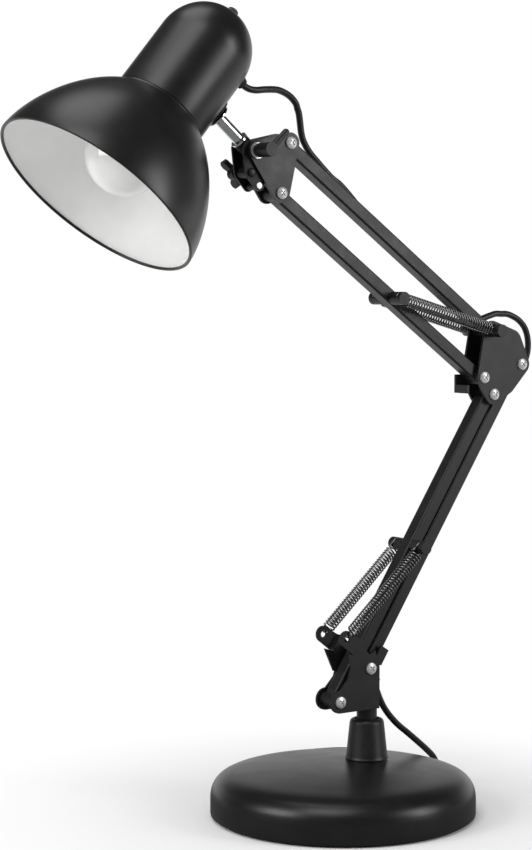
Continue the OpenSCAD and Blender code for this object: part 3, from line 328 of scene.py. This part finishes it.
# ---------------------------------------------------------------- mesh helpers
def piece(name, verts, faces, finishes, slot, face_finish=None, sharp=35):
    """One object from points in metres. Faces turn outwards, and edges sharper than an angle stay crisp."""
    mesh = bpy.data.meshes.new(name)
    mesh.from_pydata(verts, [], faces)
    for finish in finishes:
        mesh.materials.append(MATERIALS[finish])
    if face_finish is not None:
        mesh.polygons.foreach_set("material_index", np.asarray(face_finish, np.int32))
    work = bmesh.new()
    work.from_mesh(mesh)
    bmesh.ops.remove_doubles(work, verts=work.verts, dist=1e-7)
    bmesh.ops.recalc_face_normals(work, faces=work.faces)
    work.to_mesh(mesh)
    work.free()
    mesh.polygons.foreach_set("use_smooth", np.ones(len(mesh.polygons), bool))
    mesh.set_sharp_from_angle(angle=math.radians(sharp))
    obj = bpy.data.objects.new(name, mesh)
    bpy.context.scene.collection.objects.link(obj)
    return obj


def smooth(points, steps):
    """A Catmull-Rom curve: half of (2b + (c-a)t + (2a-5b+4c-d)t2 + (3b-a-3c+d)t3) between each b and c."""
    p = np.asarray(points, float)
    spans = len(p) - 1
    ends = np.concatenate([p[:1], p, p[-1:]])
    a, b, c, d = (ends[k:k + spans, None] for k in range(4))
    t = (np.arange(steps) / steps)[:, None]
    rise, bend, twist = c - a, 2 * a - 5 * b + 4 * c - d, 3 * b - a - 3 * c + d
    curve = 0.5 * (2 * b + rise * t + bend * t ** 2 + twist * t ** 3)
    return np.concatenate([curve.reshape(-1, p.shape[1]), p[-1:]])


def along_path(p):
    """How far each point of a path lies from its first one, as the sum of the steps up to it."""
    return np.concatenate([[0], np.cumsum(np.linalg.norm(np.diff(p, axis=0), axis=1))])


def grid_faces(rows, sides, close=False):
    """Four-sided faces between rows of points, each row a ring. close joins the last row to the first."""
    start = np.arange(rows if close else rows - 1)[:, None] * sides
    after = (start + sides) % (rows * sides)
    k = np.arange(sides)
    j = (k + 1) % sides
    return np.stack([start + k, start + j, after + j, after + k], axis=-1).reshape(-1, 4).tolist()


def capped_faces(rows, sides):
    """The faces between rows of points, with the first and the last row closed by a face of their own."""
    first = list(range(sides))[::-1]
    return grid_faces(rows, sides) + [first, list(range((rows - 1) * sides, rows * sides))]


def tube(path, radius, sides):
    """Rings of points round a path, each first spoke being the last one with its part along the path taken off.

    A ring's point at angle a is the path's point plus the radius times (cosine a of the spoke, and sine a of
    the direction square to the spoke and the path).
    """
    p = np.asarray(path, float)
    steps = unit(np.diff(p, axis=0))
    t = np.concatenate([steps[:1], unit(steps[1:] + steps[:-1]), steps[-1:]])
    spoke = unit(np.cross(t[0], [0, 0, 1] if abs(t[0][2]) < 0.9 else [1, 0, 0]))
    spokes = np.empty_like(p)
    for i, way in enumerate(t):
        spoke = spokes[i] = unit(spoke - (spoke @ way) * way)
    a = turns(sides)[:, None]
    rings = np.cos(a) * spokes[:, None] + np.sin(a) * np.cross(t, spokes)[:, None]
    radius = np.broadcast_to(np.asarray(radius, float), (len(p),))[:, None, None]
    return (p[:, None] + radius * rings).reshape(-1, 3), capped_faces(len(p), sides)


def joined(parts):
    """Several (points, faces) pairs as one, each one's faces counted on from the points before it."""
    verts, faces, count = [], [], 0
    for v, f in parts:
        verts.append(v)
        faces += [[i + count for i in face] for face in f]
        count += len(v)
    return np.concatenate(verts), faces


def turned(profile, origin, axis, sides, flutes):
    """A profile of (radius, distance) spun about an axis.

    The point at angle a is the origin plus the distance along the axis, plus the radius times (cosine a,
    sine a) across it. flutes is a factor on each radius, one for all points or one for each.
    """
    r, h = np.asarray(profile, float).T
    axis = unit(axis)
    u = unit(np.cross(axis, [0, 1, 0] if abs(axis[1]) < 0.9 else [1, 0, 0]))
    a = turns(sides)[:, None]
    spokes = np.cos(a) * u + np.sin(a) * np.cross(axis, u)
    radius = (r[:, None] * flutes)[:, :, None]
    points = np.asarray(origin, float) + h[:, None, None] * axis + radius * spokes
    rows = np.repeat(np.arange(len(r) - 1), sides)
    return points.reshape(-1, 3), grid_faces(len(r), sides), rows


# ---------------------------------------------------------------- cord
CORD_D = 5.0


def grommet(h):
    """A point over the middle of the shade's cord grommet, at a height from the shade's axis."""
    return RIM + GROMMET_AT * SHADE - h * ROD


# Where the cord crosses each joint, and the way that it runs there
PAN, PAN_WAY = H1 + [-12, 2.2, 38.7], np.array([4, 0.6, 0.3])
HEAD, HEAD_WAY = H1 + [18.6, 8.4, 26.8], np.array([1.9, 0.7, -3.6])
ELBOW, ELBOW_WAY = E1 + [-2, 13, 39.4], np.array([4, 0, -0.1])
CLIP, CLIP_WAY = S1 + [19.5, 13.9, -12], np.array([1.2, 0, -3.5])
TOP = E4 + 91 * UPPER
REAR = S1 + 84 * LOWER
ROUTES = {
    "shade_cord": [
        grommet(29.6), grommet(35.6), grommet(40.1), H1 + [[-29.5, 0.4, 38.2], [-23, 1.1, 37.6]],
        PAN - PAN_WAY, PAN],
    "knuckle_cord": [
        PAN, PAN + PAN_WAY, H1 + [[-1.5, 4.2, 39], [5.5, 5.6, 37.4], [11.8, 6.9, 34.6]], HEAD - HEAD_WAY, HEAD],
    "head_cord": [
        HEAD, HEAD + HEAD_WAY,
        H1 + [[22.1, 9.8, 16.4], [23.6, 10.5, 9.4], [26, 11, 3.2], [31, 11, -4.2], [38, 10.6, -11.3],
              [50, 9.8, -22.5], [58.5, 9, -28.5], [67, 6.5, -38], [76.5, 2.5, -50.7], [85.5, 0.3, -60.1],
              [101.5, 0, -72.4]],
        TOP + 8 * UPPER, TOP],
    "elbow_cord": [
        TOP, TOP - 8 * UPPER,
        E1 + [[-87, 0.3, 68.6], [-77, 1.5, 61.5], [-67, 4.5, 56], [-57, 8, 51], [-45, 11.3, 44.6],
              [-34.5, 13.2, 38.2], [-24.5, 13.3, 35.5], [-14.5, 13.2, 37.9]],
        ELBOW - 1.5 * ELBOW_WAY, ELBOW],
    "rear_cord": [
        ELBOW, ELBOW + 1.5 * ELBOW_WAY,
        E1 + [[10.2, 12.5, 37.2], [15.8, 12.1, 34.1], [21.2, 12, 29], [24.6, 12.2, 22.6], [26.4, 12.8, 14.5],
              [26, 13.6, 6.5], [22.9, 14.2, -1.2], [17, 14.4, -9], [9.5, 14.4, -16.2], [2, 14, -22.2],
              [-4, 13.6, -26.4], [-10.4, 12, -31.4], [-17, 9.2, -36.7], [-23.2, 5.6, -42.2],
              [-29.1, 2.4, -47.9], [-35.1, 0.5, -54.7], [-41.5, 0, -63.7]],
        REAR + 60 * LOWER, REAR + 8 * LOWER, REAR],
    "bracket_cord": [
        REAR, REAR - 8 * LOWER,
        S1 + [[36.5, 0.5, 55], [32.7, 2.4, 46.7], [29.8, 5.8, 39], [27.6, 9.4, 31.6], [24.5, 12.4, 22.5],
              [21, 13.8, 13], [18.4, 13.9, 3.5], [17.3, 13.9, -4]],
        CLIP - CLIP_WAY, CLIP],
}
TIE_T = 0.6
COIL_TURNS, COIL_STEPS, COIL_TAIL = 8, 24, 5
COIL_OUT, COIL_PITCH, LAYER_RISE = 40.5, 5.5, 5.45
COIL_CENTRE = np.array([53.0, 103.5, TIE_T + CORD_D / 2 * math.cos(math.radians(30)) + 0.1])


def coil(step):
    """The put-away coil's points: it spirals in, climbs over half a turn, and spirals out on top.

    At a number of turns from the start, the radius is the outer one less the pitch times the turns to the
    nearer end, and the height rises by a layer from a quarter turn before the middle to a quarter turn after.
    """
    turn = np.asarray(step) / COIL_STEPS
    r = COIL_OUT - COIL_PITCH * np.minimum(turn, COIL_TURNS - turn)
    climb = np.clip((turn - COIL_TURNS / 2 + 0.25) / 0.5, 0, 1)
    a = 2 * math.pi * turn
    return COIL_CENTRE + np.stack([r * np.cos(a), r * np.sin(a), LAYER_RISE * climb], axis=-1)


COIL_COUNT = COIL_TURNS * COIL_STEPS + COIL_TAIL
COIL_START = COIL_CENTRE + [COIL_OUT, -CORD_D, 0]
COIL_LAST = coil(COIL_COUNT)
COIL_END = COIL_LAST + CORD_D * level(360 * COIL_TAIL / COIL_STEPS + 90)
PLUG_AT = np.array([-15.4, 126.3, 6.85])
PLUG_OUT = level(200)
GRIP, RELIEF = 35.0, 24.0
LEAD_FREE = [
    CLIP, CLIP + CLIP_WAY,
    [[20.2, 14.4, 85], [23.6, 14.7, 77.6], [27.8, 15, 70.4], [33.9, 15.5, 63], [42.2, 16, 55],
     [52.4, 16.7, 47.2], [63, 17.5, 38.9], [73, 18.8, 31], [81.5, 21, 23.8], [88.3, 25, 16.2], [94, 31, 9.4],
     [98, 40, 4.8], [99.5, 52, 2.8], [98.5, 66, 2.8], [95.8, 80, 2.8]],
    COIL_START - [0, 6, 0], COIL_START]
LEAD_COIL = [COIL_START, coil(np.arange(COIL_COUNT + 1)), COIL_END]
LEAD_TAIL = [COIL_END, 2 * COIL_END - COIL_LAST, [47, 147.4, 7.6],
             PLUG_AT - (GRIP + np.array([[RELIEF], [12], [3.5], [0]])) * PLUG_OUT]


def make_cords():
    """The six stretches of cord on the arm, and the free mains lead down to its coil and plug."""
    for name, route in ROUTES.items():
        path = world(smooth(np.vstack(route), 6))
        verts, faces = tube(path, CORD_D / 2 * MM, 20)
        obj = piece(name + "_round", verts, faces, ["cord_vinyl"], "cord_vinyl", sharp=60)
        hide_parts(name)
        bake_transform(obj)
    runs = [smooth(np.vstack(part), steps) for part, steps in ((LEAD_FREE, 5), (LEAD_COIL, 2), (LEAD_TAIL, 5))]
    path = world(np.concatenate([runs[0][:-1], runs[1][:-1], runs[2]]))
    verts, faces = tube(path, CORD_D / 2 * MM, 16)
    lead = piece("mains_lead_round", verts, faces, ["cord_vinyl"], "cord_vinyl", sharp=60)
    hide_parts("mains_lead", "lead_coil", "plug_cord")
    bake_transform(lead)
    return lead, path


lead, lead_path = make_cords()


# ---------------------------------------------------------------- plug
RIB_DEPTH, GRIP_RIB, RELIEF_RIB = 0.28, 2.4, 3.0
GRIP_ROUND = 2 / 3.2


def ribs(x, spacing):
    """Depth of the ribs at a distance: half of one less the cosine of the turns since the first rib."""
    return RIB_DEPTH * (0.5 - 0.5 * np.cos(2 * math.pi * x / spacing))


def plug_half(x):
    """Half width and half height of the plug's grip, x mm back from its face: full, waisted, then tapered.

    The taper is an S-curve from 8 to 35 mm, the waist a bell round 17 mm, and the nose a rounded first 1.5 mm.
    """
    t = np.clip((x - 8) / 27, 0, 1)
    t = t * t * (3 - 2 * t)
    waist = 0.9 * np.exp(-((x - 17) / 6) ** 2)
    nose = 1.2 * np.clip(1 - x / 1.5, 0, None) ** 2
    groove = np.where((x > 12) & (x < 24), ribs(x - 12, GRIP_RIB), 0)
    return 13 - 8.4 * t - waist - nose - groove, 6.8 - 2.5 * t - 0.5 * waist - nose - groove


def make_plug():
    """The plug's grip is a row of superellipses, with ribs pressed in, and its strain relief a ribbed taper.

    A superellipse's point at angle a stands at the half width times the cosine and the half height times the
    sine, each raised to the same power and keeping its sign.
    """
    sides = 48
    x = np.concatenate([[0.0, 0.4, 1.0, 1.8], np.arange(3, GRIP + 0.01, 0.8)])
    wide, high = plug_half(x)
    c, s = np.cos(turns(sides)), np.sin(turns(sides))
    wide = np.outer(wide, np.copysign(abs(c) ** GRIP_ROUND, c))[:, :, None]
    high = np.outer(high, np.copysign(abs(s) ** GRIP_ROUND, s))[:, :, None]
    rings = PLUG_AT - x[:, None, None] * PLUG_OUT + wide * np.cross(UP, PLUG_OUT) + high * UP
    tail = smooth(np.vstack(LEAD_TAIL)[::-1][:6], 10)
    run = along_path(tail)
    tail, run = tail[run <= RELIEF], run[run <= RELIEF]
    relief = tube(tail, 4.2 - 1.3 * run / RELIEF - ribs(run, RELIEF_RIB), 24)
    verts, faces = joined([(rings.reshape(-1, 3), capped_faces(len(x), sides)), relief])
    obj = piece("plug_grip", world(verts), faces, ["black_plastic"], "black_plastic")
    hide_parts("plug_body")
    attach(obj, "base")
    return obj


plug = make_plug()


# ---------------------------------------------------------------- balance springs
WIRE, CURL_OUTER, CURLS, CURL_STEPS = 1.4, 10.0, 33, 14
SPRING_PIN_R, PIN_GAP = 3.6, 0.05
HOOK_NECK, EYE_NECK = 5.0, 2.2
SPRING_SIDES = (-15, 15)


def spring(p, q, y, hooked):
    """One balance spring: an eye or hook, 33 close curls, and an eye round the pin at the other end.

    A curl's point at angle a stands at its share of the length along the axis, plus the curl's radius times
    (cosine a to the side, sine a outwards). An eye is an arc round the pin in the plane of axis and side.
    """
    curl_r = (CURL_OUTER - WIRE) / 2
    loop = SPRING_PIN_R + WIRE / 2 + PIN_GAP
    a, b = p + y * ACROSS, q + y * ACROSS
    axis = unit(q - p)
    side = np.array([-axis[2], 0, axis[0]])
    out = math.copysign(1, y) * ACROSS
    head, foot = (HOOK_NECK if hooked else loop + EYE_NECK), loop + EYE_NECK
    length = np.linalg.norm(b - a) - head - foot

    def eye(c, start, stop):
        """An arc round a pin, from one angle to another in degrees."""
        t = np.radians(np.linspace(start, stop, 25))[:, None]
        return c + loop * (np.cos(t) * side + np.sin(t) * axis)

    if hooked:
        hook = np.array([[-3.4, 0.6, 0], [-2.6, -0.1, 0], [-1.4, 0, 0], [1.4, 0, 0], [2.9, 0.9, 0],
                         [3.0, 2.6, 1.4]])
        start = a + hook @ [out, axis, side]
    else:
        start = eye(a, -290, 0)
    turn = np.arange(CURLS * CURL_STEPS + 1)[:, None] / CURL_STEPS
    t = 2 * math.pi * turn
    curls = a + (head + length * turn / CURLS) * axis + curl_r * (np.cos(t) * side + np.sin(t) * out)
    return tube(world(np.concatenate([start, curls, eye(b, 0, 290)])), WIRE / 2 * MM, 8)


def make_springs():
    """The two pairs of balance springs, each pair one piece."""
    ear = S1 + [-26.5, 0, 25.5]
    hook = ear + 1.9 * unit(LOWER_PIN - ear)
    low = piece("lower_spring_pair", *joined([spring(hook, LOWER_PIN, y, True) for y in SPRING_SIDES]),
                ["spring_steel"], "spring_steel", sharp=80)
    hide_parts("lower_springs")
    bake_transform(low)
    high = piece("upper_spring_pair", *joined([spring(UPPER_PIN, E4, y, False) for y in SPRING_SIDES]),
                 ["spring_steel"], "spring_steel", sharp=80)
    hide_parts("upper_springs")
    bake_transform(high)


make_springs()


# ---------------------------------------------------------------- turned pieces
def turned_piece(name, profile, origin, axis, finishes, slot, body, replaces=(), sides=128, inside_from=None,
                 flutes=1.0, sharp=35):
    """A turned profile in millimetres as an object that rides on a body and stands for CAD nodes.

    The faces from the profile's step inside_from onwards take the second finish.
    """
    verts, faces, rows = turned(profile, origin, axis, sides, flutes)
    pick = None if inside_from is None else rows >= inside_from
    obj = piece(name, world(verts), faces, finishes, slot, pick, sharp)
    if replaces:
        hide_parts(*replaces)
    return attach(obj, body)


def make_base():
    """The pressed base cover, with a smoothed outer line, and the collar that holds the post."""
    crown = smooth([(0, 37), (15, 37), (28, 36.7), (40, 36.15), (55, 35.25), (67, 34.3), (78, 33.3), (86, 32.0),
                    (92, 29.8), (96, 26.5), (98.7, 22), (99.8, 17), (100, 12)], 5)
    inside = [(100, 8), (100, 3.2), (99.8, 2.5), (99.4, 2.1), (98.9, 2.1), (98.8, 2.6), (98.8, 12), (98.5, 17),
              (97.3, 21.8), (94.9, 25.8), (91.2, 28.7), (85.6, 30.8), (77.9, 32.1), (55, 34.0), (28, 35.5),
              (0, 35.8)]
    turned_piece("base_cover", np.vstack([crown, inside]), -POST, UP, ["black_enamel"], "black_paint", "base",
                 ("base_shell",), sides=192)
    collar = [(5.2, 0), (16.1, 0), (16.45, 0.25), (16.5, 0.6), (16.3, 1.3), (15.9, 1.9), (15.75, 2.6),
              (13.25, 27.3), (13.1, 28.2), (12.7, 29.2), (12.0, 30.1), (11.1, 30.6), (10.2, 30.8), (9.6, 30.75),
              (9.3, 30.5), (9.3, 29.6), (7.9, 29.6), (6.5, 29.4), (6.5, 5.5), (5.2, 5.5), (5.2, 0)]
    turned_piece("collar_cup", collar, (0, 0, 37), UP, ["black_plastic"], "black_plastic", "base", ("collar",),
                 sides=96)


make_base()


def bowl_line(less):
    """The bowl as (radius, distance from the mouth): a quarter superellipse, with its cosine and its sine
    raised to the same power, drawn in by a wall's thickness."""
    a = np.radians(np.arange(1.5, 67.6, 1.5))
    return np.column_stack([BOWL_ROOT_R + (RIM_R - less - BOWL_ROOT_R) * np.cos(a) ** BOWL_POWER,
                            (BOWL_DEPTH - less) * np.sin(a) ** BOWL_POWER])


def dome_line(degrees, r, depth):
    """The neck's dome as (radius, distance from the rim): a quarter ellipse of its radius and its depth."""
    a = np.radians(degrees)
    return np.column_stack([r * np.cos(a), DOME_FROM + depth * np.sin(a)])


def make_shade():
    """The bowl with its rolled lip, black outside and white inside, and the neck housing with its dome."""
    wall = 1.0
    lip = [(78.1, 2.1), (77.5, 2.0), (77.1, 1.65), (76.9, 1.1), (76.95, 0.6), (77.2, 0.25), (77.6, 0.0),
           (78.1, -0.05), (78.6, 0.0), (79.05, 0.2), (79.27, 0.5)]
    root = [(35.5, 78.8), (35.25, 79.4), (34.9, 79.7), (33.45, 79.7), (33.45, 87.3), (32.45, 87.3),
            (32.45, 78.7)]
    outer, inner = bowl_line(0), bowl_line(wall)[::-1]
    inner = inner[(inner[:, 0] > 33.2) & (inner[:, 1] > 2.5)]
    turned_piece("shade_shell", np.vstack([lip, outer, root, inner, lip[0]]), RIM - MOUTH_OUT * SHADE, SHADE,
                 ["black_enamel", "white_enamel"], "black_paint", "shade", ("shade_bowl",), sides=192,
                 inside_from=len(lip) + len(outer) + len(root) - 1)
    r, depth = NECK_R, SHADE_DEPTH + DOME_LIFT - DOME_FROM
    foot = [(r - wall, NECK_FROM), (r - 0.35, NECK_FROM), (r - 0.05, 78.75), (r, 79.2), (r, 90), (r, 105),
            (r, 120)]
    outer, top = dome_line(np.arange(0, 90, 3), r, depth), (0, DOME_FROM + depth)
    under, inner = (0, DOME_FROM + depth - wall), dome_line(np.arange(84, -0.1, -6), r - wall, depth - wall)
    turned_piece("neck_cover", np.vstack([foot, outer, top, under, inner, foot[0]]), RIM, SHADE,
                 ["black_enamel", "white_enamel"], "black_paint", "shade", ("neck_housing",), sides=128,
                 inside_from=len(foot) + len(outer) + 1)


make_shade()


def make_bulb():
    """Opal globe with its neck, and the screw cap whose thread is a ripple of the radius."""
    line = smooth([(0, 8), (7.25, 8.95), (14, 11.75), (19.8, 16.2), (24.25, 22), (27.05, 28.75), (28, 36),
                   (27.15, 43), (24.9, 49.5), (21.4, 55.5), (18.0, 61.5), (15.6, 68), (14.1, 75),
                   (13.4, 81.5)], 5)
    line[:, 0] = np.maximum(line[:, 0], 0)
    globe = np.vstack([line, (12.6, 81.7), (0, 81.7)])
    turned_piece("bulb_globe", globe, RIM, SHADE, ["white_glass"], "white_glass", "shade", ("bulb",), sides=96)
    thread_r, thread_depth, thread_pitch, thread_from = 13.0, 0.45, 4, 83
    s = np.arange(thread_from, 103.01, 0.5)
    ripple = 0.5 - 0.5 * np.cos(2 * math.pi * (s - thread_from) / thread_pitch)
    thread = np.column_stack([thread_r - thread_depth * ripple, s])
    cap = np.vstack([(0, 81), (13.1, 81), thread, (12.4, 104), (10.5, 105), (5, 106), (4.6, 107.6), (0, 108)])
    turned_piece("bulb_cap", cap, RIM, SHADE, ["zinc_steel"], "zinc_steel", "shade", (), sides=64)


make_bulb()


def make_saddle():
    """The rod's saddle: a disc bent round the neck.

    A point at a radius and an angle on the disc has its cosine along the shade and its sine across it. It
    stands from the shade's axis at the root of (neck radius + lift) squared less the sine part squared.
    """
    profile = np.array([(3.0, -0.4), (8.0, -0.4), (11.8, -0.4), (12.2, 0.3), (12.3, 0.9), (12.1, 1.35),
                        (11.6, 1.6), (10.6, 1.7), (8.0, 1.7), (5.6, 1.8), (5.0, 2.3), (3.0, 2.3)])
    sides = 72
    radius, lift = profile.T[:, :, None]
    along, y = radius * np.cos(turns(sides)), radius * np.sin(turns(sides))
    high = np.sqrt((NECK_R + lift) ** 2 - y * y)
    verts = RIM + (ROD_AT + along)[:, :, None] * SHADE + y[:, :, None] * ACROSS - high[:, :, None] * ROD
    obj = piece("bent_saddle", world(verts.reshape(-1, 3)), grid_faces(len(profile), sides, close=True),
                ["black_cast"], "black_plastic", sharp=50)
    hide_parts("rod_saddle")
    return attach(obj, "shade")


make_saddle()


def make_knob():
    """Switch knob at the top of the dome, with shallow flutes between its plain foot and its crown.

    On the fluted rows the radius at angle a shrinks by a share, times half of one plus the cosine of the
    number of flutes times a.
    """
    foot = SHADE_DEPTH + 1.9
    profile = np.array([(1.75, 0), (3.7, 0), (4.05, 0.3), (4.1, 0.7), (4.1, 1.0), (4.1, 2.5), (4.0, 3.0),
                        (3.7, 3.4), (3.1, 3.7), (2.2, 3.85), (0, 3.9)]) + [0, foot]
    sides, count, share, fluted = 160, 20, 0.055, slice(4, 6)
    flutes = np.ones((len(profile), sides))
    flutes[fluted] -= share * (0.5 + 0.5 * np.cos(count * turns(sides)))
    turned_piece("knob_fluted", profile, RIM, SHADE, ["black_plastic"], "black_plastic", "knob",
                 ("switch_knob",), sides=sides, flutes=flutes, sharp=50)


make_knob()


def make_knuckle_bolts():
    """The wing nut's bolt with its black head, and the rivet at the foot of the yoke with bright ends."""
    wing = TILT - 7.4 * ROD - 14.4 * SHADE
    rivet = TILT - 18.7 * ROD - 17 * SHADE
    bolt = [(0, -10.0), (1.6, -9.95), (2.7, -9.6), (3.2, -9.0), (3.3, -8.5), (3.25, -8.0), (2.0, -8.0),
            (2.0, 8.0), (2.5, 8.0), (2.5, 10.4), (2.0, 10.45), (2.0, 15.2), (1.6, 15.6), (0, 15.6)]
    turned_piece("wing_bolt", bolt, wing, ACROSS, ["black_plastic"], "black_plastic", "knuckle",
                 ("yoke_fasteners",), sides=48)
    turned_piece("yoke_spacer", [(0, -6.4), (3.0, -6.4), (3.0, 6.4), (0, 6.4)], rivet, ACROSS, ["black_cast"],
                 "black_plastic", "knuckle", (), sides=48)
    for name, y0, y1 in (("near_rivet_end", -8.0, -8.15), ("far_rivet_end", 8.0, 8.15)):
        turned_piece(name, [(0, y1), (2.0, y1), (2.5, (y0 + y1) / 2), (2.6, y0), (0, y0)], rivet, ACROSS,
                     ["zinc_steel"], "zinc_steel", "knuckle", (), sides=48)


make_knuckle_bolts()


# ---------------------------------------------------------------- stage
# TO_BACK points level, from the front of the view to its back. Each pair is where a fade starts and ends: the
# backdrop's by the cosine of the angle from TO_BACK and by height, the floor's by metres out and along TO_BACK
TO_BACK = (0.574, 0.819, 0.0)
BACKDROP_SIDES, BACKDROP_TOP = (0.45, 0.85), (0.24, 0.40)
FLOOR_FADE, FLOOR_BEHIND = (0.12, 0.34), (0.0, 0.5)
STUDIO_LEVEL, STUDIO_SOFT, FLOOR_DIM, FLOOR_SHARE = 0.07, 0.45, 0.12, 0.9
FLOOR_R = 12
LAMPS_LOOK_AT = Vector((-0.03, 0, 0.35))
LAMPS = {
    "key": ((-1.10, -0.75, 2.15), (1.2, 1.2), 16.5),
    "fill": ((1.22, -1.70, 0.85), (0.7, 1.2), 17),
    "side": ((-1.6, 0.15, 0.9), (0.8, 0.8), 13),
    "top": ((-0.2, 0.15, 1.35), (0.6, 0.55), 2.5),
}


def make_surround():
    """White for rays from the camera or through glass, and a plain level for rays off matt surfaces.

    Gloss sees a white backdrop behind the lamp, which fades out to both sides and above, and a dark studio
    everywhere else.
    """
    sky = bpy.data.worlds.new("surround")
    bpy.context.scene.world = sky
    sky.use_nodes = True
    tree = sky.node_tree
    ray = shader_node(tree, "LightPath", {}).outputs
    way = shader_node(tree, "TexCoord", {}).outputs["Generated"]
    height = shader_node(tree, "SeparateXYZ", {0: way}).outputs["Z"]
    backdrop = spread(tree, dot(tree, way, TO_BACK), *BACKDROP_SIDES, soft=True)
    edge = spread(tree, height, *BACKDROP_TOP, 1.0, 0.0, soft=True)
    studio = reckon(tree, "MAXIMUM", reckon(tree, "MULTIPLY", backdrop, edge), STUDIO_LEVEL)
    gloss = reckon(tree, "MULTIPLY", studio, ray["Is Glossy Ray"])
    soft = reckon(tree, "MULTIPLY_ADD", ray["Is Diffuse Ray"], STUDIO_SOFT, gloss)
    clear = reckon(tree, "MAXIMUM", ray["Is Camera Ray"], ray["Is Transmission Ray"])
    back = tree.nodes["Background"]
    back.inputs["Color"].default_value = (1, 1, 1, 1)
    tree.links.new(reckon(tree, "ADD", soft, clear), back.inputs["Strength"])


def floor_material():
    """A pale matt floor that fades into white away from the lamp.

    The camera sees the fade on every side, and gloss only behind the lamp. Elsewhere what gloss sees is mostly
    a dim floor: its share is FLOOR_SHARE, and the pale floor's the rest.
    """
    m = bpy.data.materials.new("floor")
    m.use_nodes = True
    tree = m.node_tree
    shader = tree.nodes["Principled BSDF"]
    set_inputs(shader, Base_Color=(0.88, 0.88, 0.88, 1), Roughness=0.8, Specular_IOR_Level=0.2)
    place = shader_node(tree, "TexCoord", {}).outputs["Object"]
    away = shader_node(tree, "VectorMath", {0: place})
    away.operation = "LENGTH"
    fade = spread(tree, away.outputs["Value"], *FLOOR_FADE, soft=True)
    far = spread(tree, dot(tree, place, TO_BACK), *FLOOR_BEHIND, soft=True)
    ray = shader_node(tree, "LightPath", {}).outputs
    seen = reckon(tree, "MULTIPLY", ray["Is Glossy Ray"], far)
    for kind in ("Is Camera Ray", "Is Transmission Ray"):
        seen = reckon(tree, "MAXIMUM", seen, ray[kind])
    dim = shader_node(tree, "Emission", {"Strength": FLOOR_DIM})
    studio = shader_node(tree, "MixShader", {
        0: reckon(tree, "MULTIPLY", ray["Is Glossy Ray"], FLOOR_SHARE),
        1: shader.outputs["BSDF"], 2: dim.outputs["Emission"]})
    glow = shader_node(tree, "Emission", {})
    mix = shader_node(tree, "MixShader", {
        0: reckon(tree, "MULTIPLY", fade, seen), 1: studio.outputs["Shader"], 2: glow.outputs["Emission"]})
    tree.links.new(mix.outputs["Shader"], tree.nodes["Material Output"].inputs["Surface"])
    return m


def make_stage():
    """The floor as one flat round face, the surround, and four soft lamps that face the lamp's middle."""
    mesh = bpy.data.meshes.new("floor")
    a = turns(72)
    mesh.from_pydata(np.column_stack([FLOOR_R * np.cos(a), FLOOR_R * np.sin(a), 0 * a]), [], [range(len(a))])
    mesh.materials.append(floor_material())
    floor = bpy.data.objects.new("floor", mesh)
    bpy.context.scene.collection.objects.link(floor)
    make_surround()
    for name, (at, size, power) in LAMPS.items():
        data = bpy.data.lights.new(name, "AREA")
        data.shape = "RECTANGLE"
        data.size, data.size_y = size
        data.energy = power
        lamp = bpy.data.objects.new(name, data)
        lamp.location = at
        lamp.rotation_euler = (LAMPS_LOOK_AT - Vector(at)).to_track_quat("-Z", "Y").to_euler()
        bpy.context.scene.collection.objects.link(lamp)
    bpy.context.scene.view_settings.view_transform = "Standard"


make_stage()
